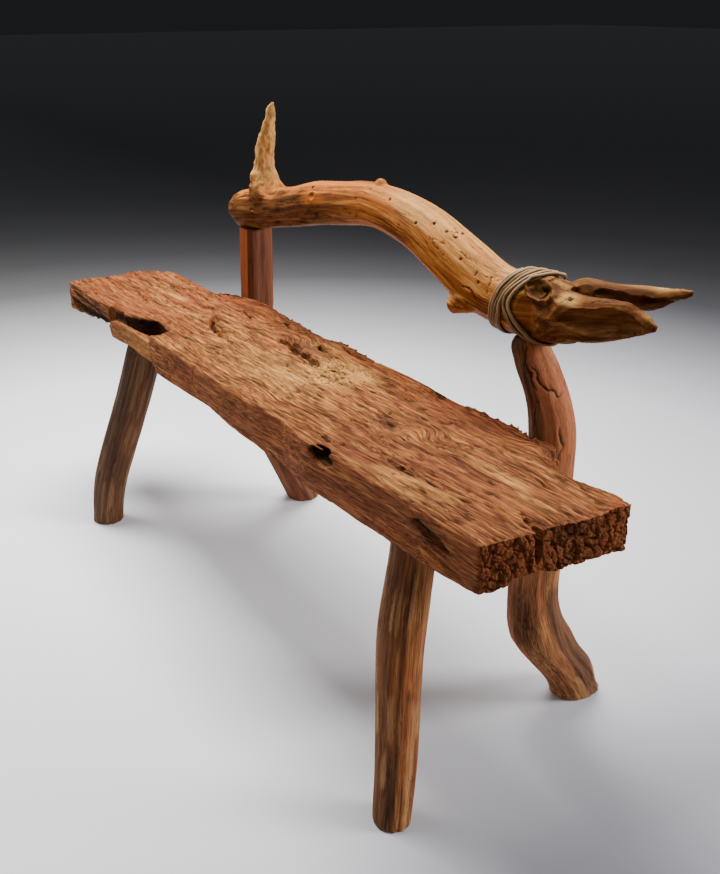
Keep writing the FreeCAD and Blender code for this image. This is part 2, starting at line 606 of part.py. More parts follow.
# The prong on the left end: level stations, (height, lean, girth, oval). Its root grows out of the
# rail, so heights and girths there are shares of the rail's; above they are of the prong's sizes.
PRONG_ROOT_SHARES = ((0.052, 0.30, 1.223, 0.60), (0.34, 0.42, 1.393, 0.64),
                     (0.549, 0.34, 1.210, 0.76))
PRONG_SHARES = (
    (0.294, 0.10, 1.18, 0.90), (0.417, 0.01, 0.80, 0.96), (0.554, 0.12, 0.72, 0.96),
    (0.69, 0.35, 0.63, 0.96), (0.824, 0.60, 0.46, 0.95), (0.94, 0.82, 0.30, 0.95),
    (1.00, 0.96, 0.13, 0.95),
)
prong_rings = []
for tall, dia, shares in (("Sizes.rail_dia", "Sizes.rail_dia", PRONG_ROOT_SHARES),
                          ("Sizes.prong_tall", "Sizes.prong_dia", PRONG_SHARES)):
    for up, lean, girth, oval in shares:
        prong_rings.append(ring(f"prong_ring_{len(prong_rings)}",
                                f"{LEFT_POST_X} + Sizes.prong_in + Sizes.prong_lean * {lean}",
                                LEFT_POST_Y, f"{RAIL_LEFT_Z} + {tall} * {up}",
                                f"{dia} * {girth}", oval))
prong = loft("prong", prong_rings)

# The cut side branch under the rail, aimed by shares of its length, and the small knot on the
# crown.
STUB_ALONG_SHARE = 0.905
STUB_HEIGHT_SHARE = -0.07
STUB_ROOT_SHARE = 1.9
STUB_LEFT_SHARE = 0.62
STUB_FRONT_SHARE = 0.30
STUB_DOWN_SHARE = 0.27
STUB_LEVEL = f"sqrt({STUB_LEFT_SHARE} * {STUB_LEFT_SHARE} + {STUB_FRONT_SHARE} * {STUB_FRONT_SHARE})"
STUB_TURN = (f"create(<<rotation>>; create(<<vector>>; {STUB_FRONT_SHARE}; -{STUB_LEFT_SHARE}; 0); "
             f"atan2({STUB_LEVEL}; -{STUB_DOWN_SHARE}))")
stub = doc.addObject("Part::Cone", "stub")
bind(stub, "Radius1", f"Sizes.stub_dia / 2 * {STUB_ROOT_SHARE}")
bind(stub, "Radius2", "Sizes.stub_dia / 2")
bind(stub, "Height", "Sizes.stub_long")
bind(stub, "Placement", place(f"{LEFT_POST_X} + {SPAN} * {STUB_ALONG_SHARE}",
                              f"{LEFT_POST_Y} + {POST_SHIFT} * {STUB_ALONG_SHARE}",
                              rail_z(STUB_HEIGHT_SHARE), STUB_TURN))
KNOT_ALONG_SHARE = 0.543
KNOT_SIZE_SHARE = 0.15
KNOT_HEIGHT_SHARE = 0.40
knot = doc.addObject("Part::Sphere", "crown_knot")
bind(knot, "Radius", f"Sizes.rail_dia * {KNOT_SIZE_SHARE}")
bind(knot, "Placement", place(f"{LEFT_POST_X} + {SPAN} * {KNOT_ALONG_SHARE}",
                              f"{LEFT_POST_Y} + {POST_SHIFT} * {KNOT_ALONG_SHARE}",
                              f"{rail_z(1)} + Sizes.rail_dia * {KNOT_HEIGHT_SHARE}"))


# Flats let into the underside of the rail for the post tops.
def flat(name, x, y, half_x, flat_z):
    box = doc.addObject("Part::Box", name)
    bind(box, "Length", f"{half_x} * 2")
    bind(box, "Width", "Sizes.rail_dia * 2")
    bind(box, "Height", "Sizes.rail_dia")
    bind(box, "Placement", place(f"{x} - {half_x}", f"{y} - Sizes.rail_dia",
                                 f"{flat_z} - Sizes.rail_dia"))
    return box


RIGHT_TOP_SHARES = UPPER_BRANCH_SHARES[-1]
left_flat = flat("left_flat", LEFT_TOP_X, LEFT_POST_Y,
                 "(Sizes.left_post_wide / 2 + Sizes.flat_deep)", LEFT_FLAT_Z)
right_flat = flat("right_flat",
                  f"({RIGHT_POST_X} - Sizes.right_post_lean * {RIGHT_TOP_SHARES[1]})", RIGHT_POST_Y,
                  "(Sizes.right_post_dia / 2)", RIGHT_FLAT_Z)
rail_whole = fuse("rail_whole", [rail_trunk, front_jaw, rear_jaw, prong, stub, knot])
keep("back_rail", cut("rail", rail_whole,
                      [left_flat, right_flat, left_dowel_bore, right_dowel_bore]))
doc.recompute()

# The lashing: one unbroken vine round the neck. Five turns pass under it to the left of the
# post's top and the last three slant across to its right. Places along the rail are counted
# from the middle of the post's top, as shares of the rail's girth there.
VINE_TURNS = 8
LEFT_TURNS = 5
VINE_TOP_SHARE = -0.31
VINE_SIDE_SHARE = -0.47
VINE_UNDER_LEFT_SHARE = -0.685
VINE_UNDER_RIGHT_SHARE = 0.38
VINE_UNDER_STRETCH_SHARE = 1.45
VINE_SIDES = 3
VINE_SLOPE_STEP = math.radians(1)


def rail_section(x):
    """Centre and half sizes of the rail at a place along it, read between its stations."""
    table = [[measure(item) if isinstance(item, str) else item for item in station]
             for station in rail_stations]
    for left, right in zip(table, table[1:]):
        if left[0] <= x <= right[0]:
            part = (x - left[0]) / (right[0] - left[0])
            y, z, dia, oval = [a + (b - a) * part for a, b in zip(left[1:], right[1:])]
            return y, z, dia / 2, dia / 2 * oval
    raise ValueError("the lashing runs off the rail")


def vine_point(x, angle):
    """A point of the vine's middle line, angle counted from the top towards the front."""
    y, z, high, deep = rail_section(x)
    lift = measure("Sizes.vine_dia / 2 + Sizes.vine_lift")
    return Vector(x, y - (deep + lift) * math.sin(angle), z + (high + lift) * math.cos(angle))


def vine_places():
    """Quarter by quarter: (place along the rail, angle) from the back, over the top, round."""
    middle = measure(RIGHT_TOP_X)
    girth = measure(f"Sizes.rail_dia * {NECK_DIA_SHARE}")
    top, side, under = (measure(f"Sizes.vine_pitch_{name}") for name in ("top", "side", "under"))
    places = [(middle + girth * VINE_SIDE_SHARE - side, -math.pi / 2)]
    for turn in range(VINE_TURNS):
        start = turn * 2 * math.pi
        beside_x = middle + girth * VINE_SIDE_SHARE + side * turn
        if turn < LEFT_TURNS:
            below_x = middle + girth * VINE_UNDER_LEFT_SHARE + under * turn
        else:
            beside_x += measure("Sizes.vine_split")
            step = under * VINE_UNDER_STRETCH_SHARE * (turn - LEFT_TURNS)
            below_x = middle + girth * VINE_UNDER_RIGHT_SHARE + step
        places.append((middle + girth * VINE_TOP_SHARE + top * turn, start))
        places.append((beside_x, start + math.pi / 2))
        places.append((below_x, start + math.pi))
        places.append((beside_x + side / 4, start + math.pi * 1.5))
    return places


def arc(start, tangent, end):
    """The arc from start to end that leaves along the tangent."""
    chord = end - start
    normal = chord - tangent * chord.dot(tangent)
    normal.normalize()
    radius = chord.dot(chord) / (2 * chord.dot(normal))
    centre = start + normal * radius
    middle = (start - centre) + (end - centre)
    middle.normalize()
    return Part.Arc(start, centre + middle * abs(radius), end), abs(radius)


def biarc(start, start_way, end, end_way):
    """Two arcs that meet smoothly between two points with given directions."""
    chord = end - start
    ways = start_way + end_way
    bend = 2 * (1 - start_way.dot(end_way))
    along = chord.dot(ways)
    reach = (math.sqrt(along * along + bend * chord.dot(chord)) - along) / bend
    meet = (start + end + (start_way - end_way) * reach) * 0.5
    first, first_radius = arc(start, start_way, meet)
    second, second_radius = arc(end, end_way * -1, meet)
    back = Part.Arc(meet, second.value(0.5 * (second.FirstParameter + second.LastParameter)), end)
    return [first, back], [first_radius, second_radius]


places = vine_places()
points = [vine_point(x, angle) for x, angle in places]
ways = []
for number in range(len(points)):
    x, angle = places[number]
    before = places[max(number - 1, 0)]
    after = places[min(number + 1, len(places) - 1)]
    slope = (after[0] - before[0]) / (after[1] - before[1])
    step = VINE_SLOPE_STEP
    way = vine_point(x + slope * step, angle + step) - vine_point(x - slope * step, angle - step)
    way.normalize()
    ways.append(way)
vine_dia = measure("Sizes.vine_dia")
edges = [Part.LineSegment(points[0] - ways[0] * vine_dia, points[0]).toShape()]
radii = []
for number in range(len(points) - 1):
    arcs, sizes = biarc(points[number], ways[number], points[number + 1], ways[number + 1])
    edges.extend(item.toShape() for item in arcs)
    radii.extend(sizes)
edges.append(Part.LineSegment(points[-1], points[-1] + ways[-1] * vine_dia).toShape())
vine_path = Part.Wire(edges)


def vine_section():
    """A plain section with few sides, square to the start of the vine."""
    start = points[0] - ways[0] * vine_dia
    turn = Rotation(Vector(0, 0, 1), ways[0])
    corners = []
    for number in range(VINE_SIDES + 1):
        angle = 2 * math.pi * number / VINE_SIDES
        spoke = Vector(math.cos(angle), math.sin(angle), 0) * (vine_dia / 2)
        corners.append(start + turn.multVec(spoke))
    return Part.makePolygon(corners)


vine = doc.addObject("Part::Feature", "vine_lashing")
vine.Shape = vine_path.makePipeShell([vine_section()], True, False)
keep("vine_lashing", vine)


def least_gap(wire, step, skip):
    """Least distance between strands of a wound wire, measured on points along it."""
    samples = wire.discretize(Distance=step)
    far = int(skip / step)
    least = min(a.distanceToPoint(b) for number, a in enumerate(samples)
                for b in samples[number + far:])
    return least - vine_dia


GAP_STEP_SHARE = 0.4
GAP_SKIP_SHARE = 12
print(f"vine: {vine_path.Length:.0f} mm long, tightest bend {min(radii):.1f} mm, least gap to "
      f"itself {least_gap(vine_path, vine_dia * GAP_STEP_SHARE, vine_dia * GAP_SKIP_SHARE):.2f} mm")
doc.recompute()

# Nothing is written unless everything is sound.
for thing in doc.Objects:
    faults = [word for word in thing.State if word in ("Invalid", "Error")]
    assert not faults, f"{thing.Name}: {thing.State}"
for node, thing in nodes.items():
    shape = thing.Shape
    assert not shape.isNull() and shape.isValid(), f"{node} has no sound shape"
    assert len(shape.Solids) == 1, f"{node} is {len(shape.Solids)} solids"
for node, thing in nodes.items():
    thing.Shape.exportStep(f"parts/{node}.step")
    box = thing.Shape.BoundBox
    print(f"{node}: volume {thing.Shape.Volume / 1000:.0f} cm3, x {box.XMin:.0f} to {box.XMax:.0f}, "
          f"y {box.YMin:.0f} to {box.YMax:.0f}, z {box.ZMin:.0f} to {box.ZMax:.0f}")
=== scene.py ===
# %% [markdown]
# # A driftwood bench
# The bench is found wood: one weathered slab on three stick legs, a crooked branch that is the
# fourth leg and a back post in one, a hewn post, and a forked branch laid over both as a back
# rail, lashed at its neck with vine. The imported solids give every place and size. Each large
# piece starts from its solid, gets an even skin, and is then carved and weathered by moving that
# skin's points with short functions of place, the way a sculptor works from big forms to small.
# Only the vine is wound anew, on the finished rail.

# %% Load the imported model
import math
from functools import partial

import bmesh
import bpy
import numpy as np
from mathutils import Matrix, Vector
from mathutils.bvhtree import BVHTree


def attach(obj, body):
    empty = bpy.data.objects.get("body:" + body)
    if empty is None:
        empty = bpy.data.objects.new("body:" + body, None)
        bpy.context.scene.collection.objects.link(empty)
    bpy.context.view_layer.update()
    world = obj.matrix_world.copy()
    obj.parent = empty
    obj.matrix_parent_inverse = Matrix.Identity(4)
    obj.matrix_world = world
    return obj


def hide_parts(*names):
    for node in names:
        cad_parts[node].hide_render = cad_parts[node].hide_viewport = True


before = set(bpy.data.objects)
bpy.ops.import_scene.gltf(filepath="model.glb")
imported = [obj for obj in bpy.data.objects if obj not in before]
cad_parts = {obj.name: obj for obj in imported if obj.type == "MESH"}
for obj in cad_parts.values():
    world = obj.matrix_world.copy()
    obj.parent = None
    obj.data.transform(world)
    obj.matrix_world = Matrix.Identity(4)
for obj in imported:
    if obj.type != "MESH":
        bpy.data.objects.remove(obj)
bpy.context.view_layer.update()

# %% [markdown]
# ## The camera
# The photograph looks down along the bench from its right front corner. The place, the tilt and
# the lens were worked out from the slab's parallel edges and the feet on one level floor.

# %% Camera
CAMERA_PLACE = (1.4034, -0.8051, 0.9778)
CAMERA_AZIMUTH = math.radians(56.59)
CAMERA_TILT = math.radians(90 - 23.09)
CAMERA_LENS, SENSOR_WIDTH = 42.51, 36


def add_object(name, data):
    """A new object in the scene, made of the camera, lamp or mesh data given."""
    made = bpy.data.objects.new(name, data)
    bpy.context.collection.objects.link(made)
    return made


camera_data = bpy.data.cameras.new("photo_camera")
camera_data.lens = CAMERA_LENS
camera_data.sensor_width = SENSOR_WIDTH
camera = add_object("photo_camera", camera_data)
camera.location = CAMERA_PLACE
camera.rotation_euler = (CAMERA_TILT, 0, CAMERA_AZIMUTH)
bpy.context.scene.camera = camera
print("camera at", CAMERA_PLACE)

# %% [markdown]
# ## The studio
# A pale sweep with a painted pool of light: near the bench the floor's colour is pale grey, and it
# falls off to a dark grey far behind. The fall of light is painted into the floor's colour, told
# by the place on it, so that it stays where it is from any side. Wide soft boxes light the bench
# from above and from both sides at a plain level.

# %% Node helpers
def new_material(name):
    """An empty node material with its output."""
    material = bpy.data.materials.new(name)
    material.use_nodes = True
    nodes = material.node_tree.nodes
    nodes.clear()
    output = nodes.new("ShaderNodeOutputMaterial")
    return material, nodes, material.node_tree.links, output


def node(nodes, kind, **settings):
    """One shader node with its settings; input values are given by socket name."""
    made = nodes.new(kind)
    for key, value in settings.items():
        if hasattr(made, key) and key not in made.inputs:
            setattr(made, key, value)
        else:
            made.inputs[key.replace("_", " ")].default_value = value
    return made


def ramp(nodes, stops):
    """A colour ramp from (place, colour) stops."""
    made = nodes.new("ShaderNodeValToRGB")
    band = made.color_ramp
    while len(band.elements) < len(stops):
        band.elements.new(0.5)
    for element, (place, colour) in zip(band.elements, stops):
        element.position = place
        element.color = (*colour, 1)
    return made


# %% Floor and backdrop
# painted light on the floor: how pale its colour is at so many metres from the bench
FLOOR_PAINTED_LIGHT = ((0.8, 0.97), (1.24, 0.93), (1.7, 0.57), (2.25, 0.205), (2.7, 0.118), (3.2, 0.080),
                (3.9, 0.066), (4.9, 0.062), (6.2, 0.062), (8.5, 0.072), (12.0, 0.082))
FLOOR_REACH = 12.0
FLOOR_TINT = (0.985, 0.995, 1.02)
# and how much of that painted light is left farther along the bench and farther behind it: painted
# shade
FLOOR_PAINTED_SHADE_ALONG = ((-0.3, 1.0), (0.09, 0.92), (0.37, 0.84), (0.58, 0.65), (0.74, 0.42), (1.0, 0.39))
FLOOR_PAINTED_SHADE_BEHIND = ((-0.6, 1.0), (0.0, 0.96), (0.5, 0.82), (1.5, 0.54), (2.0, 0.38), (3.0, 0.44))
SIDE_REACH = 4.0
FLOOR_HALF = 30.0


def floor_material():
    """Pale cloth with a painted pool of light: its colour darkens with the distance from the
    middle, along the bench and behind it.
    """
    material, nodes, links, output = new_material("studio_floor")
    where = nodes.new("ShaderNodeTexCoord")
    distance = node(nodes, "ShaderNodeVectorMath", operation="LENGTH")
    links.new(where.outputs["Object"], distance.inputs[0])
    spread = node(nodes, "ShaderNodeMapRange", From_Min=0.0, From_Max=FLOOR_REACH)
    links.new(distance.outputs["Value"], spread.inputs["Value"])
    colour = ramp(nodes, [(far / FLOOR_REACH, [shade * tint for tint in FLOOR_TINT])
                          for far, shade in FLOOR_PAINTED_LIGHT])
    links.new(spread.outputs["Result"], colour.inputs["Fac"])
    apart = nodes.new("ShaderNodeSeparateXYZ")
    links.new(where.outputs["Object"], apart.inputs[0])
    shaded = colour.outputs["Color"]
    # painted shade: the floor's colour darkens farther along the bench and farther behind it
    for way, shades in (("X", FLOOR_PAINTED_SHADE_ALONG), ("Y", FLOOR_PAINTED_SHADE_BEHIND)):
        side = node(nodes, "ShaderNodeMapRange", From_Min=-SIDE_REACH, From_Max=SIDE_REACH)
        links.new(apart.outputs[way], side.inputs["Value"])
        painted_falloff = ramp(nodes, [((place + SIDE_REACH) / (2 * SIDE_REACH),
                             (shade, shade * (0.97 + 0.03 * shade), shade ** 0.95))
                            for place, shade in shades])
        links.new(side.outputs["Result"], painted_falloff.inputs["Fac"])
        both = node(nodes, "ShaderNodeVectorMath", operation="MULTIPLY")
        links.new(shaded, both.inputs[0])
        links.new(painted_falloff.outputs["Color"], both.inputs[1])
        shaded = both.outputs[0]
    cloth = node(nodes, "ShaderNodeBsdfPrincipled", Roughness=0.85, Specular_IOR_Level=0.1)
    links.new(shaded, cloth.inputs["Base Color"])
    links.new(cloth.outputs["BSDF"], output.inputs["Surface"])
    return material


floor_mesh = bpy.data.meshes.new("studio_floor")
floor_corners = [(-1, -1), (1, -1), (1, 1), (-1, 1)]
floor_mesh.from_pydata([(x * FLOOR_HALF, y * FLOOR_HALF, 0) for x, y in floor_corners], [],
                       [(0, 1, 2, 3)])
floor = add_object("studio_floor", floor_mesh)
floor.data.materials.append(floor_material())
print("floor:", 2 * FLOOR_HALF, "m wide")

# %% World and soft boxes
SKY_COLOUR, SKY_STRENGTH = (0.93, 0.96, 1.0), 0.26
BEHIND_FLOOR = (0.0128, 0.0137, 0.0152)
world = bpy.data.worlds.new("studio_air")
bpy.context.scene.world = world
world.use_nodes = True
air, joins = world.node_tree.nodes, world.node_tree.links
air.clear()
sky_out = air.new("ShaderNodeOutputWorld")
glow = node(air, "ShaderNodeBackground", Color=(*SKY_COLOUR, 1), Strength=SKY_STRENGTH)
seen = node(air, "ShaderNodeBackground", Color=(*BEHIND_FLOOR, 1), Strength=1.0)
ray = air.new("ShaderNodeLightPath")
either = air.new("ShaderNodeMixShader")
joins.new(ray.outputs["Is Camera Ray"], either.inputs["Fac"])
joins.new(glow.outputs[0], either.inputs[1])
joins.new(seen.outputs[0], either.inputs[2])
joins.new(either.outputs[0], sky_out.inputs["Surface"])


def soft_box(name, place, aim, size, power, colour):
    """A square soft box that points at a spot."""
    data = bpy.data.lights.new(name, "AREA")
    data.shape = "SQUARE"
    data.size = size
    data.energy = power
    data.color = colour
    lamp = add_object(name, data)
    lamp.location = place
    lamp.rotation_euler = (Vector(aim) - Vector(place)).to_track_quat("-Z", "Y").to_euler()
    print(f"{name}: {power} W")


soft_box("box_above", (-0.75, 0.1, 2.35), (0.0, 0.0, 0.3), 1.2, 128, (1.0, 0.985, 0.96))
soft_box("box_left", (-2.5, -1.3, 1.7), (0.0, 0.0, 0.3), 1.2, 22, (1.0, 0.97, 0.93))
soft_box("box_right", (1.9, 2.2, 1.5), (0.1, 0.0, 0.4), 1.1, 95, (0.97, 0.98, 1.0))

# %% [markdown]
# ## A skin that can be carved
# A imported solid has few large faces. A voxel skin gives it even small ones, all closed, so that
# every part of it can be moved. Blender's own remesh makes the skin, and arrays of points move
# it, because a rule such as "deeper where two cracks cross" is one line for all points at once.

# %% Skins, points and normals
MM = 0.001


def copy_solid(name, node_name):
    """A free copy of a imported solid, ready to be carved."""
    piece = add_object(name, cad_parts[node_name].data.copy())
    piece.data.materials.clear()
    return piece


def even_skin(piece, size):
    """Give a piece one closed skin with faces about `size` millimetres wide."""
    change = piece.modifiers.new("even_skin", "REMESH")
    change.mode = "VOXEL"
    change.voxel_size = size * MM
    view = bpy.context.evaluated_depsgraph_get()
    made = bpy.data.meshes.new_from_object(piece.evaluated_get(view))
    piece.modifiers.clear()
    old = piece.data
    piece.data = made
    bpy.data.meshes.remove(old)
    piece.data.name = piece.name


def points_of(piece):
    """All points of a piece in millimetres, one row each."""
    flat = np.empty(len(piece.data.vertices) * 3, np.float32)
    piece.data.vertices.foreach_get("co", flat)
    return flat.reshape(-1, 3).astype(float) / MM


def put_points(piece, points):
    """Move all points of a piece to new places."""
    piece.data.vertices.foreach_set("co", (points * MM).astype(np.float32).ravel())
    piece.data.update()


def normals_of(piece):
    """The direction that the surface faces at each point."""
    flat = np.empty(len(piece.data.vertices) * 3, np.float32)
    piece.data.vertex_normals.foreach_get("vector", flat)
    return flat.reshape(-1, 3).astype(float)


def sink(points, facing, depth):
    """Each point goes in, against the way its surface faces, by its own depth."""
    return points - facing * depth[:, None]


# %% Add to a skin, split it and wear it down
def add_solid(piece, corners, faces):
    """Add a plain closed solid, told in millimetres, to a piece; the next skin joins them."""
    shape = bmesh.new()
    shape.from_mesh(piece.data)
    verts = [shape.verts.new(Vector(corner) * MM) for corner in corners]
    for face in faces:
        shape.faces.new([verts[number] for number in face])
    bmesh.ops.recalc_face_normals(shape, faces=shape.faces)
    shape.to_mesh(piece.data)
    shape.free()
    piece.data.update()


def finer_where(piece, wanted):
    """Split every face once where it is wanted: the broken and eaten places need finer form."""
    shape = bmesh.new()
    shape.from_mesh(piece.data)
    chosen = [edge for edge in shape.edges
              if wanted[edge.verts[0].index] and wanted[edge.verts[1].index]]
    bmesh.ops.subdivide_edges(shape, edges=chosen, cuts=1, use_grid_fill=True)
    shape.to_mesh(piece.data)
    shape.free()
    piece.data.update()


def pull_together(points, edges, share):
    """Each point goes part of the way to the middle of its neighbours."""
    first, second = edges
    count = len(points)
    near = np.bincount(first, minlength=count) + np.bincount(second, minlength=count)
    middle = np.stack([np.bincount(first, points[second, axis], count)
                       + np.bincount(second, points[first, axis], count)
                       for axis in range(3)], 1) / np.maximum(near, 1)[:, None]
    return points + (middle - points) * share


PULL_IN, PUSH_BACK = 0.5, 0.52


def soften(piece, rounds):
    """Wear the edges down. Pulling in and pushing back by turns keeps the size of a stick."""
    flat = np.empty(len(piece.data.edges) * 2, np.int32)
    piece.data.edges.foreach_get("vertices", flat)
    edges = flat.reshape(-1, 2).T
    points = points_of(piece)
    for _ in range(rounds):
        points = pull_together(points, edges, PULL_IN)
        points = pull_together(points, edges, -PUSH_BACK)
    put_points(piece, points)


# %% [markdown]
# ## Chance that never changes
# Wood is irregular, but the bench has to come out the same on every run. So chance comes from
# the place itself: whole-number cells are stirred into steady random numbers, and the numbers
# are blended between the cells. Cells that are long along the grain give long streaks.

# %% Steady noise
WHOLE = 0xFFFFFFFF
STIRRERS = (0x8DA6B343, 0xD8163841, 0xCB1AB31F)


def scatter(cells, seed):
    """A steady random number from 0 to 1 for each whole-number cell."""
    x, y, z = (cells[..., axis].astype(np.int64).astype(np.uint32) * np.uint32(stirrer)
               for axis, stirrer in enumerate(STIRRERS))
    stir = x ^ y ^ z ^ np.uint32((seed * 0x9E3779B1) & WHOLE)
    stir = (stir ^ (stir >> np.uint32(16))) * np.uint32(0x7FEB352D)
    stir = (stir ^ (stir >> np.uint32(15))) * np.uint32(0x846CA68B)
    return (stir ^ (stir >> np.uint32(16))) / float(WHOLE)


def swells(places, size, seed):
    """Soft random hills from -1 to 1. `size` is their width in millimetres along each axis."""
    grid = places / np.asarray(size, float)
    cell = np.floor(grid)
    part = grid - cell
    smooth = part * part * part * (part * (part * 6 - 15) + 10)
    total = np.zeros(len(places))
    for corner in np.ndindex(2, 2, 2):
        weight = np.prod(np.where(corner, smooth, 1 - smooth), axis=1)
        total += weight * scatter(cell + corner, seed)
    return total * 2 - 1


def rough_swells(places, size, seed, octaves=3):
    """Hills with smaller hills on them."""
    size = np.asarray(size, float)
    total, height = 0.0, 1.0
    for octave in range(octaves):
        total = total + height * swells(places, size / 2 ** octave, seed + octave * 7)
        height *= 0.5
    return total


def drift(places, size, seed):
    """A soft random shift along all three axes; lines drawn in drifted places wander."""
    return np.stack([swells(places, size, seed + axis) for axis in range(3)], 1)


def creases(places, size, seed, width):
    """Thin wandering lines: 1 on a line, 0 away from it."""
    return np.clip(1 - np.abs(swells(places, size, seed)) / width, 0, 1)


def lumps(places, size, seed):
    """Distances to the nearest scattered seed and to the next one, counted in cells, and a
    steady random number that belongs to the nearest seed."""
    grid = places / np.asarray(size, float)
    cell = np.floor(grid)
    nearest, second, own = np.full((3, len(places)), 9.0)
    for step in np.ndindex(3, 3, 3):
        there = cell + np.array(step) - 1
        spot = there + np.stack([scatter(there, seed + axis * 31) for axis in range(3)], -1)
        gap = np.linalg.norm(grid - spot, axis=1)
        second = np.minimum(second, np.maximum(nearest, gap))
        own = np.where(gap < nearest, scatter(there, seed + 97), own)
        nearest = np.minimum(nearest, gap)
    return nearest, second, own


# %% [markdown]
# ## Drawing on a skin
# A dent, a crack or a patch that has its own place is drawn: a spot has a middle and a reach, a
# line has points and a width. Each gives one number for every point of a skin, 1 where it is
# drawn and 0 away from it. That number then moves the point, darkens it, or tints it.

# %% Spots and lines
def ease(low, high, value):
    """0 below low, 1 above high, and a smooth step between."""
    part = np.clip((value - low) / (high - low), 0, 1)
    return part * part * (3 - 2 * part)


def measured(line):
    """The length of each run of a line, and how far along it each of its points lies."""
    runs = np.linalg.norm(np.diff(line, axis=0), axis=1)
    return runs, np.concatenate([[0], np.cumsum(runs)])


def line_at(line, told, where):
    """Places on a line for the numbers `where`; `told` has the number of each of its points."""
    return np.stack([np.interp(where, told, line[:, axis]) for axis in range(3)], 1)


def near_line(plane, line, half_width):
    """1 on a drawn line, 0 half a width away; the line tapers to both ends."""
    line = np.array(line, float)
    runs, starts = measured(line)
    best = np.full(len(plane), 9.0)
    for start, end, run, before in zip(line[:-1], line[1:], runs, starts):
        part = np.clip((plane - start) @ (end - start) / run ** 2, 0, 1)
        gap = np.linalg.norm(plane - start - part[:, None] * (end - start), axis=1)
        share = (before + part * run) / starts[-1]
        width = half_width * np.sqrt(np.clip(4 * share * (1 - share), 0.08, 1))
        best = np.minimum(best, gap / width)
    return np.clip(1 - best, 0, 1)


LAY_STEP = 6.0


def laid_on(skin, line):
    """A drawn line in short runs, each point moved to the nearest point of the skin."""
    line = np.asarray(line, float)
    told = measured(line)[1]
    path = line_at(line, told, np.linspace(0, told[-1], max(2, int(told[-1] / LAY_STEP) + 1)))
    return np.array([skin[np.argmin(((skin - spot) ** 2).sum(1))] for spot in path])


def near_spot(places, spot, reach):
    """1 at a spot and 0 at its reach (one number, or one for each axis), smooth between."""
    gap = np.linalg.norm((places - np.array(spot, float)) / np.asarray(reach, float), axis=1)
    return ease(0, 1, 1 - gap)


# %% Tell the finish
def tell(piece, name, values):
    """Store a number, or a place, for each point of a piece, for its finish to read."""
    kind = "FLOAT_VECTOR" if values.ndim == 2 else "FLOAT"
    store = piece.data.attributes.new(name, kind, "POINT")
    store.data.foreach_set("vector" if values.ndim == 2 else "value",
                           values.astype(np.float32).ravel())


def tell_all(piece, grain, **shares):
    """Store where each point lies along the grain, and shares from 0 to 1 by their names."""
    tell(piece, "grain", grain)
    for name, values in shares.items():
        tell(piece, name, np.clip(values, 0, 1))
    print(piece.name, "tells", len(grain), "points:", ", ".join(shares))


# %% [markdown]
# ## Wood that has lain outside
# Old driftwood is not one brown. Pale fibres stand up, the soft wood between them is gone and
# dark, and patches run from straw to fox red. Cracks and holes get a nearly black painted shade.
# The finish reads what each piece tells it for every point: where it is along the grain, how much
# painted shade it takes in a crack or a hole (on the branch also some real dark stains), and how
# pale, red or grey it is, from weathering and, on some pieces, from painted light and shade.
# Everything finer than the skin, the fibres and the hair cracks, is drawn by noise that is
# stretched along the grain; the hair cracks get the same painted shade.

# %% The wood finish
def paint(red, green, blue):
    """A colour as a painter names it, 0 to 255, turned into the light that it gives back."""
    return tuple((part / 255 / 12.92) if part <= 10 else ((part / 255 + 0.055) / 1.055) ** 2.4
                 for part in (red, green, blue))


# the near black of the painted shade in cracks and holes, and of the branch's real dark stains
SHADE_AND_STAIN_PAINT = (28, 15, 9)
PATCH_SIZE, PATCH_STRENGTH = (130, 34), 3.0
NOISE_STEPS = (3.7, 5.3, 2.9)


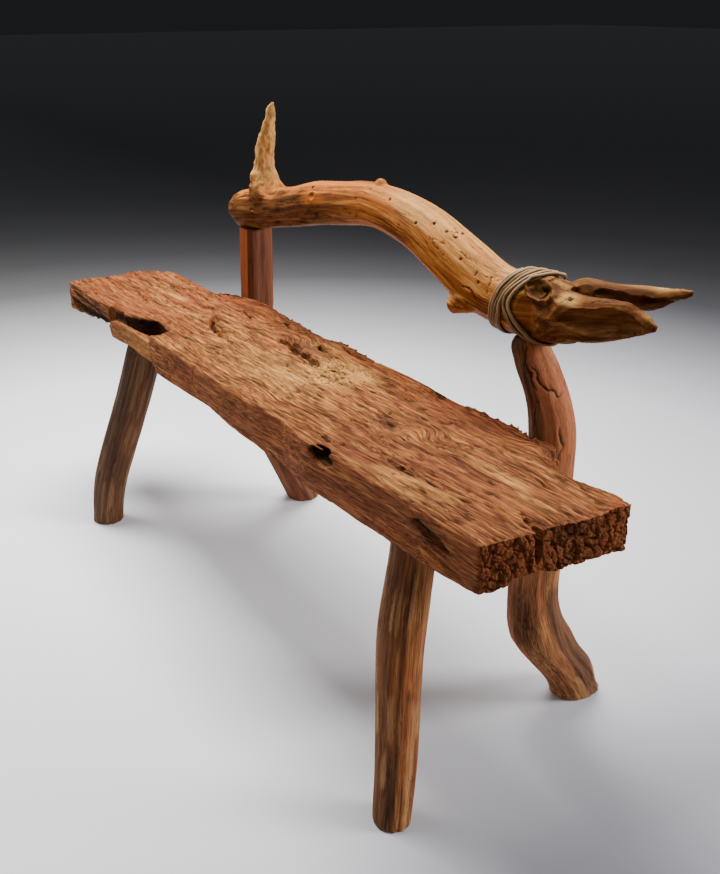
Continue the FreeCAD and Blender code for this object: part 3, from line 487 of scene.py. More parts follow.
def wood_finish(name, dark, deep, middle, light, streak, fibre, hair, relief,
                pale=(214, 178, 128), red=(150, 72, 38), grey=(104, 88, 70),
                rough=(0.62, 0.85), fine=0.35, gloss=0.18, packed=False):
    """Weathered wood. Lengths and widths of streaks, fibres and hair cracks are millimetres."""
    material, nodes, links, output = new_material(name)

    def told(what):
        """What the piece tells about each point."""
        return node(nodes, "ShaderNodeAttribute", attribute_name=what)

    def stretched(size, detail, seed, roughness=0.55):
        """Noise whose cells are long along the grain."""
        stretch = node(nodes, "ShaderNodeVectorMath", operation="MULTIPLY_ADD")
        stretch.inputs[1].default_value = (1 / size[0], 1 / size[1], 1 / size[-1])
        stretch.inputs[2].default_value = [seed * step for step in NOISE_STEPS]
        links.new(grain.outputs["Vector"], stretch.inputs[0])
        made = node(nodes, "ShaderNodeTexNoise", Scale=1.0, Detail=detail, Roughness=roughness)
        links.new(stretch.outputs[0], made.inputs["Vector"])
        return made.outputs["Fac"]

    def feed(socket, value):
        """Give a socket a number, a colour or a link."""
        if isinstance(value, (int, float)):
            socket.default_value = value
        elif isinstance(value, tuple):
            socket.default_value = (*value, 1)
        else:
            links.new(value, socket)

    def sums(operation, *values, clamp=False):
        """One step of arithmetic on the values given, links or numbers."""
        step = node(nodes, "ShaderNodeMath", operation=operation, use_clamp=clamp)
        for socket, value in zip(step.inputs, values):
            feed(socket, value)
        return step.outputs[0]

    def blend(share, under, over):
        """Lay one colour over another."""
        mix = node(nodes, "ShaderNodeMix", data_type="RGBA", clamp_factor=True)
        for socket, value in (("Factor", share), ("A", under), ("B", over)):
            feed(mix.inputs[socket], value)
        return mix.outputs["Result"]

    plus, minus, times = (partial(sums, operation)
                          for operation in ("ADD", "SUBTRACT", "MULTIPLY"))
    if packed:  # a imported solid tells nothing: its grain runs along one axis of the bench
        grain = node(nodes, "ShaderNodeVectorMath", operation="SCALE", Scale=1 / MM)
        links.new(nodes.new("ShaderNodeTexCoord").outputs["Object"], grain.inputs[0])
    else:
        grain = told("grain")
    streaks = stretched(streak, 5, 1, 0.6)
    fibres = stretched(fibre, 3, 2)
    shades = ramp(nodes, ((0.36, paint(*dark)), (0.45, paint(*deep)), (0.52, paint(*middle)),
                          (0.63, paint(*light))))
    links.new(plus(times(streaks, 1 - fine), times(fibres, fine)), shades.inputs["Fac"])
    wood = shades.outputs["Color"]
    patches = minus(stretched(PATCH_SIZE, 2, 3), 0.5, clamp=True)
    body = blend(times(patches, PATCH_STRENGTH, clamp=True), wood, blend(0.55, wood, paint(*red)))
    spread = plus(times(fibres, 0.8), 0.6)
    for what, tint in (("red", red), ("grey", grey), ("pale", pale)):
        share = times(told(what).outputs["Fac"], spread, clamp=True)
        body = blend(share, body, blend(0.3, paint(*tint), wood))
    cracks = []
    for share, seed in ((1.0, 4), (0.55, 8)):  # long hair cracks, then shorter ones between them
        lines = stretched((hair[0] * share, hair[1] * share), 2, seed)
        lines = sums("ABSOLUTE", minus(lines, 0.5))
        thin = minus(1.0, sums("DIVIDE", lines, hair[2]), clamp=True)
        gate = minus(stretched((60, 22), 1, seed + 1), 0.44)
        cracks.append(times(thin, times(gate, 9.0, clamp=True)))
    crack = sums("MAXIMUM", cracks[0], times(cracks[1], 0.8))
    # painted shade: the hair cracks and the hollow share that each piece tells darken towards near
    # black
    hollow = sums("MAXIMUM", times(crack, 0.8), told("hollow").outputs["Fac"])
    body = blend(hollow, body, blend(0.9, wood, paint(*SHADE_AND_STAIN_PAINT)))

    height = minus(plus(times(fibres, 0.6), times(streaks, 0.5)), times(crack, 0.5))
    bump = node(nodes, "ShaderNodeBump", Strength=relief, Distance=0.002)
    links.new(height, bump.inputs["Height"])
    sheen = node(nodes, "ShaderNodeMapRange", To_Min=rough[0], To_Max=rough[1])
    links.new(plus(streaks, times(hollow, 0.6), clamp=True), sheen.inputs["Value"])
    surface = node(nodes, "ShaderNodeBsdfPrincipled", Specular_IOR_Level=gloss)
    links.new(sheen.outputs["Result"], surface.inputs["Roughness"])
    links.new(body, surface.inputs["Base Color"])
    links.new(bump.outputs["Normal"], surface.inputs["Normal"])
    links.new(surface.outputs["BSDF"], output.inputs["Surface"])
    return material


def finish_piece(piece, material, slot, *nodes_replaced):
    """Dress a carved piece and let it stand for its solid."""
    piece.data.materials.append(material)
    piece.data.polygons.foreach_set("use_smooth", [True] * len(piece.data.polygons))
    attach(piece, "root")
    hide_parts(*nodes_replaced)
    low, high = points_of(piece).min(0), points_of(piece).max(0)
    print(f"{piece.name}: {len(piece.data.polygons)} faces, from {low.round(1)} to "
          f"{high.round(1)} mm")


# %% [markdown]
# ## The seat slab
# A plank from an old beam, with its upper face eaten by weather and insects. Its grain does not
# run straight: it flows round places where branches once grew. So the grain is first told as a
# flow, and ridges, cracks and streaks all follow it.

# %% The flow of the grain
# the middle of each swirl, its reach, how far it turns the grain
SWIRLS = (((392, -22), 26, 0.75), ((518, 74), 20, 1.1), ((-60, 44), 34, 0.6))


def seat_grain(points):
    """Places told along the grain: it wanders a little and turns round old branch roots."""
    flow = points.copy()
    for (x, y), reach, turn in SWIRLS:
        gap = points[:, :2] - (x, y)
        far = np.hypot(gap[:, 0] * 0.6, gap[:, 1])
        angle = turn * np.exp(-(far / reach) ** 2)
        turned_x = gap[:, 0] * np.cos(angle) - gap[:, 1] * np.sin(angle)
        turned_y = gap[:, 0] * np.sin(angle) + gap[:, 1] * np.cos(angle)
        share = np.exp(-(far / (reach * 1.6)) ** 2)[:, None]
        flow[:, :2] += (np.stack([turned_x, turned_y], 1) - gap) * share
    flow[:, 1] += 13 * swells(points, (330, 120, 300), 11) + 4 * swells(points, (90, 45, 90), 12)
    flow[:, 1] += 1.2 * swells(points, (24, 14, 30), 13)
    return flow


# %% The slab's own skin
SEAT_TOP, SEAT_THICK = 440, 72
SEAT_FACES = (3.2, 2.8, 2.5)  # of its first skin, of the one with the tongue, and when carved
TIP_BACK = -146
seat = copy_solid("seat_slab", "seat_plank")
even_skin(seat, SEAT_FACES[0])
soften(seat, 3)
# behind the tongue's tip the slab's front is cut back, so that the tip will stand free
points = points_of(seat)
behind_tip = ((points[:, 0] > -452) & (points[:, 0] < -392) & (points[:, 1] < TIP_BACK)
              & (points[:, 2] > 402))
points[behind_tip, 1] = TIP_BACK
put_points(seat, points)
print("points cut back behind the tip:", behind_tip.sum())

# %% The splintered tongue that stands before the rotten pocket
# place along the slab, outer face, inner face, top
TONGUE = ((-447, -154, -150, 400), (-442, -158, -150, 412), (-425, -161, -151, 419),
          (-399, -162, -152, 424), (-349, -162, -151, 425), (-300, -160, -144, 423),
          (-262, -159, -138, 421), (-245, -160, -138, 425), (-239, -163, -140, 438),
          (-224, -165, -140, 440))
TONGUE_FOOT = 385
corners = [(x, y, z) for x, outer, inner, high in TONGUE
           for y, z in ((outer, TONGUE_FOOT), (inner, TONGUE_FOOT), (inner, high - 2),
                        (outer, high))]
faces = []
for cut in range(len(TONGUE) - 1):
    for side in range(4):
        here, beside = 4 * cut + side, 4 * cut + (side + 1) % 4
        faces.append([here, beside, beside + 4, here + 4])
faces += [[3, 2, 1, 0], [4 * len(TONGUE) - 4 + side for side in range(4)]]
add_solid(seat, corners, faces)
even_skin(seat, SEAT_FACES[1])
soften(seat, 2)
print("tongue of", len(TONGUE), "cuts joined to the slab")


# %% Bend the faces of the slab
def pocket_wall(points):
    """1 on the wall before the rotten pocket, 0 beside it and behind it."""
    x, y, _ = points.T
    return ease(-462, -450, x) * ease(-215, -230, x) * ease(-125, -138, y)


# places across the slab, and how high the underside of the near end lies there
END_EDGE = ((-177, 366), (-142, 366), (-118, 377), (-86, 376), (-60, 366), (0, 363), (60, 361))
points, facing = points_of(seat), normals_of(seat)
top = ease(0.3, 0.8, facing[:, 2]) * ease(395, 415, points[:, 2])
front = ease(0.4, 0.8, -facing[:, 1]) * ease(-60, -110, points[:, 1])
back = ease(0.3, 0.8, facing[:, 1]) * ease(30, 60, points[:, 1])
under = ease(0.3, 0.8, -facing[:, 2]) * ease(410, 395, points[:, 2])
near_end = ease(0.3, 0.8, facing[:, 0]) * ease(600, 640, points[:, 0])
far_end = ease(0.3, 0.8, -facing[:, 0]) * ease(-600, -640, points[:, 0])
grain = seat_grain(points)

points[:, 2] -= top * (1.8 + 1.8 * rough_swells(grain, (240, 50, 200), 21))
points[:, 2] -= top * ease(20, 95, points[:, 1]) * (5 + 4 * swells(grain, (70, 40, 90), 22))
points[:, 2] -= top * 2.4 * np.abs(swells(grain, (190, 20, 60), 27))
wall = pocket_wall(points)
front = front * (1 - wall)
points[:, 1] += front * (1.8 + 1.8 * rough_swells(points, (130, 90, 40), 23))
points[:, 1] += wall * 2.2 * rough_swells(points, (50, 60, 24), 30)
points[:, 1] -= back * (4 + 3 * rough_swells(points, (75, 60, 40), 24)
                        - 13 * ease(590, 670, points[:, 0]))
points[:, 2] += under * (2 + 2 * rough_swells(points, (120, 60, 60), 25))
points[:, 0] += far_end * (2 + 3 * rough_swells(points, (60, 46, 9), 26))
ragged = ease(590, 680, points[:, 0])
end_edge = np.interp(points[:, 1], *np.transpose(END_EDGE)) - END_EDGE[0][1]
lift = ragged * (end_edge + 2 * rough_swells(points * (1, 1, 0), (30, 22, 30), 28))
points[:, 2] += lift * np.clip((SEAT_TOP - points[:, 2]) / SEAT_THICK, 0, 1)
points[:, 0] -= near_end * (0.5 + 1.2 * rough_swells(points, (80, 34, 30), 29))
put_points(seat, points)
print("seat points:", len(points))

# %% [markdown]
# ### Holes, clefts and splits
# The larger wounds of the slab are drawn one by one, as a carver would pencil them: a line on
# the face, how wide it is and how deep. Their edges are frayed by a little noise.

# %% The drawn wounds
TOP_WOUNDS = (
    # line along and across the slab, half width, depth
    (((-280, -18), (-242, -40), (-190, -54), (-150, -60)), 7, 18),
    (((-330, 0), (-299, -8), (-210, -36), (-113, -68), (-80, -82)), 3, 4),
    (((-352, 3), (-322, 6), (-298, 11)), 5, 7),
    (((-414, 24), (-400, 38)), 4, 5),
    (((-302, 54), (-262, 44), (-234, 36)), 4, 7),
    (((-90, 12), (-52, 20), (-20, 10), (8, 8), (50, 3), (64, -2)), 11, 17),
    (((-34, 62), (-22, 56), (2, 52), (18, 50)), 13, 15),
    (((90, 0), (104, 6), (122, 15)), 6, 8),
    (((-155, -96), (-120, -104), (-79, -104), (-37, -97), (-5, -100)), 3.5, 5),
    (((308, -146), (322, -148), (340, -150)), 3.6, 6),
    (((334, -138), (350, -139), (370, -138)), 2.6, 5),
    (((296, -54), (316, -46), (340, -47)), 4, 4),
    (((300, -80), (345, -88), (395, -97)), 3, 4),
    (((385, -111), (444, -120), (482, -121), (503, -107)), 3.5, 5),
    (((475, -143), (523, -139), (585, -141)), 3, 4),
    (((630, -75), (655, -82), (686, -92)), 5, 13),
    (((345, -75), (392, -96), (440, -109), (543, -110)), 2.5, 3),
    (((-426, 85), (-368, 104), (-283, 108), (-165, 99)), 4, 5),
    (((355, 92), (447, 88), (506, 88), (540, 62), (598, 40)), 4, 5),
    (((-560, -60), (-500, -70), (-430, -84)), 4, 4),
    (((-620, 20), (-540, 10), (-470, -8)), 4, 4),
    (((-200, 84), (-150, 70), (-90, 74)), 6, 7),
    (((-10, 92), (40, 80), (90, 84)), 6, 7),
)
FRONT_WOUNDS = (
    # line along the slab and up, half width, depth
    (((-239, 440), (-243, 410), (-229, 388), (-212, 372)), 3.2, 8),
    (((548, 421), (574, 415), (610, 405)), 8, 7),
    (((590, 412), (608, 405), (622, 401)), 4, 6),
    (((560, 396), (600, 390), (640, 380)), 4, 3),
    (((-440, 396), (-400, 384), (-350, 388)), 4, 3),
    (((-660, 405), (-600, 396), (-520, 400), (-450, 404)), 14, 12),
    (((326, 429), (350, 427), (376, 429)), 10, 26),  # the hole under the front edge
    (((-640, 425), (-560, 418), (-480, 420)), 5, 6),
)
print("wounds on the top:", len(TOP_WOUNDS), "in the front:", len(FRONT_WOUNDS))

# %% Carve them
FRAY = 2.2
TOP_SEED, FRONT_SEED = 31, 33
STEEP_WALLS = 0.45


def frayed(plane, seed):
    """The same plane with its lines frayed by a few millimetres."""
    flat = np.column_stack([plane, np.zeros(len(plane))])
    shift = np.stack([swells(flat, 9, seed), swells(flat, 9, seed + 1)], 1)
    return plane + shift * FRAY


def carve(piece, axis, way, wounds, face, seed):
    """Sink drawn wounds into one face; the plane of the drawing is the other two axes."""
    points = points_of(piece)
    plane = frayed(np.delete(points, axis, axis=1), seed)
    sunk = np.zeros(len(points))
    for line, half_width, depth in wounds:
        sunk = np.maximum(sunk, depth * near_line(plane, line, half_width) ** STEEP_WALLS)
    points[:, axis] += way * sunk * face
    put_points(piece, points)
    print(f"carved {len(wounds)} wounds, {sunk.max():.1f} mm deep at most")


carve(seat, 2, -1, TOP_WOUNDS, ease(0.2, 0.6, normals_of(seat)[:, 2]), TOP_SEED)
at_front = ease(-118, -138, points_of(seat)[:, 1])  # what looks forward farther back stays
carve(seat, 1, 1, FRONT_WOUNDS, ease(0.2, 0.6, -normals_of(seat)[:, 1]) * at_front, FRONT_SEED)

# %% A finer skin, and twice as fine where the wood is broken or eaten
even_skin(seat, SEAT_FACES[2])
WORM_PATCH = (110, 8, SEAT_TOP)
NEAR_END = 652
points = points_of(seat)
finer_where(seat, (points[:, 0] > NEAR_END)
            | (near_spot(points, WORM_PATCH, (130, 88, 30)) > 0.1))
print("faces of the finer skin:", len(seat.data.polygons))

# %% [markdown]
# ### Fibres, cracks, worm holes and the broken end
# On the finer skin come the small forms. Ridges stand where hard fibres are left,
# cracks follow the grain, one golden patch is eaten through by worms, and the near end has
# crumbled into small red blocks with black gaps between them.

# %% Which face each point belongs to
points, facing = points_of(seat), normals_of(seat)
grain = seat_grain(points)
x, y, z = points.T
top = ease(0.2, 0.7, facing[:, 2]) * ease(410, 424, z)
front = ease(0.3, 0.7, -facing[:, 1]) * ease(-100, -130, y)
back = ease(0.3, 0.7, facing[:, 1])
under = ease(0.3, 0.8, -facing[:, 2])
far_end = ease(0.35, 0.75, -facing[:, 0]) * ease(-600, -640, x)
end_face = ease(0.2, 0.7, facing[:, 0])
wall = pocket_wall(points)
print("points on the top:", int(top.sum()), "of", len(points))

# %% Ridges, cracks and worm holes
eaten = np.maximum(near_spot(points, WORM_PATCH, (125, 85, 60)),
                   0.7 * near_spot(points, (-10, 60, SEAT_TOP), (70, 30, 60)))
eaten = ease(0.15, 0.6, eaten + 0.25 * swells(points, (30, 22, 30), 41))
ridged = np.abs(rough_swells(grain, (130, 12, 18), 42, 2))
fibre = np.abs(swells(grain, (50, 5.5, 8), 43))
crack = creases(grain, (85, 9, 26), 44, 0.10) * ease(-0.15, 0.3, swells(grain, (110, 40, 90), 45))
dash = ease(0.30, 0.12, lumps(grain, (48, 8.5, 16), 46)[0])
dash = dash * (0.35 + 0.65 * ease(-0.2, 0.3, swells(grain, (150, 50, 90), 47)))
crack = np.maximum(crack, dash)
# the front edge, from the pocket to the hole in the front, has few cracks
calm = 1 - 0.75 * ease(-110, -150, y) * ease(-230, -200, x) * ease(300, 240, x)
near_seed, next_seed, own = lumps(points, (11, 5.5, 7), 48)
worm = ease(0.28, 0.0, next_seed - near_seed) + 0.7 * own + 0.4 * swells(points, (5, 4, 4), 49)
on_top = (2.8 * ridged + 1.2 * fibre + 3.0 * crack * calm) * (1 - 0.7 * eaten)
on_top = on_top + eaten * (2.4 * worm + 1.2)
on_side = 0.9 * ridged + 0.5 * fibre + 1.3 * crack
on_back = 0.9 * ridged + 0.5 * fibre + 0.6 * np.abs(rough_swells(points, (30, 30, 24), 50))
sunk = np.maximum.reduce([top * on_top, front * on_side * (1 - 0.5 * wall), 0.6 * back * on_back,
                          under * (1.2 * ridged + 0.8 * fibre) * (1 - 0.8 * wall)])
# the rounded rims along the back and under the front, and the rim by the post, stay whole
sunk = sunk * (1 - 0.85 * ease(0.15, 0.4, facing[:, 1] * facing[:, 2]))
sunk = sunk * (1 - 0.85 * ease(62, 78, y) * ease(300, 380, x))
print(f"relief of the faces: {sunk.max():.1f} mm at most")

# %% The crumbled end
warp = drift(points, 15, 51)
block, next_block, block_height = lumps(points * (0.7, 1, 1) + 3.5 * warp, (12, 11, 13), 54)
gap = ease(0.20, 0.02, next_block - block)
chip, next_chip, chip_height = lumps(points * (0.8, 1, 1) + 1.2 * warp, (5.5, 4.6, 5.2), 55)
chip_gap = ease(0.25, 0.05, next_chip - chip)
heart = near_spot(points, (680, -36, 412), (60, 58, 44))
broken = ease(661, 673, x + 3.5 * swells(points, (20, 9, 12), 56))
crumbled = broken * (3.6 * block_height + 3.6 * gap + 1.3 * chip_height + 1.2 * chip_gap
                     + 5 * heart * end_face)
layers = far_end * 3.5 * np.abs(rough_swells(points, (30, 40, 6), 57))
inward = end_face[:, None] * (1, 0, 0) + (1 - end_face)[:, None] * 0.4 * facing
moved = sink(sink(points, facing, sunk * (1 - broken)), inward, crumbled)
moved[:, 0] += layers
put_points(seat, moved)
print(f"the near end lost {crumbled.max():.1f} mm at most")

# %% How dark the slab's hollows are painted: painted shade in cracks, holes, the pocket and gaps
# the back wall of the rotten pocket, as places along and across the slab
CAVITY_BACK = ((-452, -148), (-392, -147), (-345, -139), (-308, -118), (-274, -121), (-244, -126),
               (-226, -152))
# the painted shade in the rotten pocket and in the hole under the front edge
DEEPEST_SHADE = 0.97
# painted shade in the cracks, the worm holes, the furrows by the ridges and the drawn wounds
hollow = np.clip(0.8 * crack * top * calm + top * eaten * 0.6 * ease(0.7, 1.5, worm)
                 + 0.45 * ease(0.30, 0.0, ridged) * (top + 0.5 * front), 0, 1)
hollow = np.maximum(hollow, 0.6 * crack * (front + back))
for wounds, axis, seed, face, full, least in (
        (TOP_WOUNDS, 2, TOP_SEED, top, 0.6, 0.45), (FRONT_WOUNDS, 1, FRONT_SEED, front, 0.8, 0.3)):
    drawn = frayed(np.delete(points, axis, axis=1), seed)
    for line, half_width, depth in wounds:
        near = ease(0.05, full, near_line(drawn, line, half_width * 0.9))
        hollow = np.maximum(hollow, face * near * min(1.0, least + depth / 14))
along, _, inner, high = np.transpose(TONGUE)
behind = y - np.interp(x, *np.transpose(CAVITY_BACK))
in_cavity = (ease(1, -3, z - np.interp(x, along, high) - 14 * ease(-6, 2, behind))
             * ease(-452, -440, x) * ease(-224, -232, x)
             * ease(-1.5, 0.5, y - np.interp(x, along, inner)) * ease(9, 4, behind))
hollow = np.maximum(hollow, DEEPEST_SHADE * in_cavity)
front_hole = (ease(310, 316, x) * ease(390, 384, x) * ease(-174, -169, y) * ease(-120, -128, y)
              * ease(412, 416, z) * ease(438, 435, z))
hollow = np.maximum(hollow, DEEPEST_SHADE * front_hole)
# painted shade in the black gaps between the blocks of the crumbled end
hollow = np.maximum(hollow, broken * np.clip(0.34 * gap + 0.06 * chip_gap + 0.05 * heart, 0, 1))
print(f"in the pocket: {int(in_cavity.sum())} points, in the front hole: {int(front_hole.sum())}")

# %% Patches of colour, and the finish of the slab
# middle along and across the top, reach, strength
BLOOM_SPOTS = (((470, -138), (170, 34), 0.8), ((-420, -20), (220, 100), 0.4),
               ((560, -20), (150, 60), 0.35))
GREY_SPOTS = (((-20, 34), (95, 38), 0.85), ((320, -48), (52, 26), 0.7),
              ((540, 84), (80, 30), 0.65), ((-90, 88), (200, 30), 0.5))


def top_spots(points, spots):
    """How strongly the spots on the slab's top reach each point, all of them together."""
    return sum(strength * near_spot(points, (*middle, SEAT_TOP), (*reach, 60))
               for middle, reach, strength in spots)


bloom = ease(-0.2, 0.5, swells(grain, (90, 16, 60), 58))
unbloomed = 1 - 0.6 * bloom
tell_all(seat, grain, hollow=hollow,
         pale=(top * (1 - broken) * (0.6 * near_spot(points, (40, -70, SEAT_TOP), (250, 75, 60))
                                     * (0.4 + 0.6 * bloom) + 0.75 * eaten
                                     + top_spots(points, BLOOM_SPOTS) * bloom)
               + 0.35 * near_spot(points, (-320, -165, 410), (140, 24, 60)) * (1 - in_cavity)
               + 0.1 * broken * (1 - gap) * ease(0.2, 0.8, chip_height)),
         red=(0.5 * front * ease(-260, -100, x) + 0.7 * broken
              + 0.7 * broken * ease(0.2, 0.9, block_height)
              + top * (0.25 * ease(120, 420, x) + 0.5 * ease(-150, -400, x)) * unbloomed
              + 0.3 * wall + 0.5 * top * ease(30, 85, y) + 0.4 * back),
         grey=(0.8 * near_spot(points, (-560, -140, 400), (150, 60, 60))
               + top * (top_spots(points, GREY_SPOTS) + 0.35 * ease(150, 450, x) * unbloomed)
               + 0.8 * front * near_spot(points, (570, -172, 412), (46, 40, 16))
               + 0.4 * broken * heart + 0.35 * far_end + 0.3 * under))
seat_wood = wood_finish("weathered_slab", dark=(56, 28, 12), deep=(104, 58, 27),
                        middle=(154, 93, 48), light=(206, 146, 82), red=(142, 66, 38),
                        pale=(230, 170, 94), grey=(84, 54, 42), streak=(80, 4.6),
                        fibre=(22, 1.3), hair=(75, 4.6, 0.030), relief=1.0, fine=0.5, gloss=0.08)
finish_piece(seat, seat_wood, "seat", "seat_plank")

# %% [markdown]
# ## Grain that follows a stick
# In a branch the grain goes where the branch goes. The middle line of each stick is read from
# its own skin, slice by slice. Every point is then told by how far along that line it lies and
# how far off it, as if the stick had been bent straight.

# %% Follow a stick
def middle_line(points, slices):
    """The line up the middle of a stick, from the box of each slice of its skin."""
    height = points[:, 2]
    cuts = np.linspace(height.min(), height.max(), slices + 1)
    line = []
    for low, high in zip(cuts[:-1], cuts[1:]):
        inside = points[(height >= low) & (height <= high)]
        if len(inside) > 5:
            line.append((inside.min(0) + inside.max(0)) / 2)
    line = np.array(line)
    return np.vstack([line[0] * 1.5 - line[1] * 0.5, line[1:-1], line[-1] * 1.5 - line[-2] * 0.5])


def along_stick(points, line):
    """Each point told as (how far along, how far off one way, how far off the other way)."""
    runs, starts = measured(line)
    ways = np.diff(line, axis=0) / runs[:, None]
    side = np.cross(ways[0], (0.36, 0.48, 0.8))
    told = np.zeros_like(points)
    best = np.full(len(points), 1e9)
    for start, way, run, before in zip(line[:-1], ways, runs, starts):
        side = side - way * (side @ way)
        side = side / np.linalg.norm(side)
        across = np.cross(way, side)
        part = (points - start) @ way
        off = points - start - np.clip(part, 0, run)[:, None] * way
        gap = np.linalg.norm(off, axis=1)
        nearer = gap < best
        best[nearer] = gap[nearer]
        told[nearer, 0] = before + part[nearer]
        told[nearer, 1] = off[nearer] @ side
        told[nearer, 2] = off[nearer] @ across
    return told


def weather_stick(piece, grain, seed, dent=2.0, ridge=0.8, fibre=0.35, crack_depth=2.0,
                  crack_share=0.5, ridge_size=(170, 13, 13)):
    """Dents, long ridges and cracks along a stick. Returns where the cracks are."""
    points, facing = points_of(piece), normals_of(piece)
    crack = creases(grain, (110, 9, 9), seed + 1, 0.05)
    crack = crack * ease(0.45 - crack_share, 0.8 - crack_share,
                         swells(grain, (120, 30, 30), seed + 2))
    sunk = dent * (0.5 + 0.5 * rough_swells(grain, (95, 34, 34), seed + 3, 2))
    sunk = sunk + ridge * np.abs(swells(grain, ridge_size, seed + 4))
    sunk = sunk + fibre * np.abs(swells(grain, (60, 6, 6), seed + 5)) + crack_depth * crack
    points = sink(points, facing, np.clip(sunk, 0, None))
    points[:, 2] = np.maximum(points[:, 2], 0)
    put_points(piece, points)
    return crack


# %% [markdown]
# ## Three stick legs
# The legs are round limbs with the bark off, set into blind holes. Each has its own colour: the
# far left one has gone grey, the near one is orange brown with dark patches, and the back one is
# smooth and red. The shapes come from the solids; the skin only wears their edges and adds the
# dents, ridges and cracks that a drawknife and the weather leave.

# %% One leg
STICK_FACE = 2.4
# the side of a leg that faces this way is painted greyer: painted shade
SHADY_SIDE = np.array((-0.55, -0.83, 0.0))


def leg(name, node_name, seed, finish, pale, red, grey=0.0, shady=0.0, scars=(), **weather):
    """One leg: skin, wear, weather, and what its finish needs to know."""
    piece = copy_solid(name, node_name)
    even_skin(piece, STICK_FACE)
    soften(piece, 40)
    line = middle_line(points_of(piece), 12)
    grain = along_stick(points_of(piece), line)
    crack = weather_stick(piece, grain, seed, **weather)
    points = points_of(piece)
    # painted shade in the cracks and the scars
    hollow = 0.8 * crack
    for spot, reach, depth in scars:
        mark = near_spot(points, spot, reach)
        points = sink(points, normals_of(piece), depth * mark)
        hollow = np.maximum(hollow, 0.9 * mark)
    put_points(piece, points)
    patch = swells(grain, (120, 26, 26), seed + 8)
    # painted shade: the side that faces SHADY_SIDE is painted greyer, as much as `shady` says
    painted_side_shade = ease(-0.25, 0.35, normals_of(piece) @ SHADY_SIDE + 0.3 * patch)
    tell_all(piece, grain, hollow=hollow,
             grey=grey + 0.6 * ease(0.15, 0.5, patch) * (grey + 0.35) + shady * painted_side_shade,
             pale=pale * ease(0.15, 0.5, swells(grain, (70, 5, 5), seed + 9)),
             red=red * ease(-0.2, 0.4, swells(grain, (160, 22, 22), seed + 10)))
    finish_piece(piece, finish, "legs", node_name)


# %% Three legs
brown_limb = wood_finish("brown_limb", dark=(62, 34, 18), deep=(108, 66, 37),
                         middle=(156, 98, 56), light=(200, 140, 84), red=(176, 92, 44),
                         pale=(214, 158, 104), grey=(62, 38, 24), streak=(190, 7),
                         fibre=(34, 1.2), hair=(120, 6, 0.012), relief=0.45, fine=0.55)
grey_limb = wood_finish("grey_limb", dark=(40, 24, 15), deep=(70, 44, 27),
                        middle=(98, 64, 40), light=(130, 90, 58), red=(112, 64, 36),
                        pale=(150, 112, 74), grey=(50, 33, 22), streak=(110, 3.2),
                        fibre=(34, 1.1), hair=(120, 5, 0.014), relief=0.5, fine=0.55)
red_limb = wood_finish("red_limb", dark=(62, 32, 19), deep=(94, 52, 32),
                       middle=(120, 69, 43), light=(144, 89, 58), red=(130, 62, 38),
                       pale=(196, 148, 112), grey=(92, 62, 48), streak=(200, 9),
                       fibre=(34, 1.3), hair=(120, 7, 0.008), relief=0.3)
leg("near_leg", "front_right_leg", 61, brown_limb, pale=0.5, red=0.6, shady=0.8,
    scars=(((548, -170, 168), (9, 9, 16), 2.5),), crack_share=0.05)
leg("far_leg", "front_left_leg", 62, grey_limb, pale=0.35, red=0.5, grey=0.3, shady=0.3,
    crack_share=0.1)
leg("back_leg", "back_left_leg", 63, red_limb, pale=0.2, red=0.4, grey=0.05, crack_share=0.2,
    dent=1.2, ridge=0.4)

# %% [markdown]
# ## Two back posts
# The left post is hewn with an axe and keeps its flat faces. The right one is a crooked branch
# that comes down past the slab and is the fourth leg as well: its upper half is worn smooth and
# pinkish, painted pinker on the faces that look towards +x and darker, as painted shade, on the
# faces turned away; its lower half is streaked and ends in a sole with a lip.

# %% Left post
hewn = wood_finish("hewn_post", dark=(58, 28, 14), deep=(92, 48, 27), middle=(124, 70, 38),
                   light=(160, 96, 52), red=(166, 84, 36), pale=(196, 134, 80),
                   grey=(84, 44, 32), streak=(210, 8), fibre=(40, 1.3), hair=(160, 7, 0.010),
                   relief=0.35)
post = copy_solid("hewn_back_post", "back_left_post")
even_skin(post, STICK_FACE)
soften(post, 4)
grain = along_stick(points_of(post), middle_line(points_of(post), 6))
crack = weather_stick(post, grain, 71, dent=1.4, ridge=0.6, crack_share=0.3)
facing = normals_of(post)
tell_all(post, grain, hollow=0.8 * crack,
         red=ease(0.2, 0.7, -facing[:, 1] - 0.6 * facing[:, 0]),
         grey=0.75 * ease(0.2, 0.7, facing[:, 0]),
         pale=0.15 * ease(0.1, 0.5, swells(grain, (150, 9, 9), 74)))
finish_piece(post, hewn, "posts", "back_left_post")

# %% Right post
# drying cracks, each a line of places near the skin
POST_CRACKS = (
    ((434, 106, 523), (442, 108, 516), (456, 113, 502), (462, 113, 493), (466, 124, 494),
     (472, 126, 485), (468, 141, 492), (452, 159, 499)),
    ((477, 123, 475), (486, 121, 451), (491, 120, 426), (494, 119, 394)),
    ((422, 111, 548), (425, 104, 529), (443, 103, 506), (460, 105, 482)),
    ((457, 120, 507), (463, 121, 497)),
)
branch_wood = wood_finish("branch_post", dark=(64, 36, 20), deep=(118, 72, 42),
                          middle=(164, 106, 62), light=(204, 146, 92), red=(186, 104, 66),
                          pale=(210, 156, 104), grey=(50, 28, 18), streak=(170, 8),
                          fibre=(34, 1.3), hair=(120, 7, 0.012), relief=0.4, fine=0.55)
post = copy_solid("branch_back_post", "back_right_post")
even_skin(post, STICK_FACE)
soften(post, 40)
grain = along_stick(points_of(post), middle_line(points_of(post), 18))
low_part = ease(380, 330, points_of(post)[:, 2])
crack = weather_stick(post, grain, 81, dent=2.2, ridge=1.1, crack_share=0.35)
points, facing = points_of(post), normals_of(post)
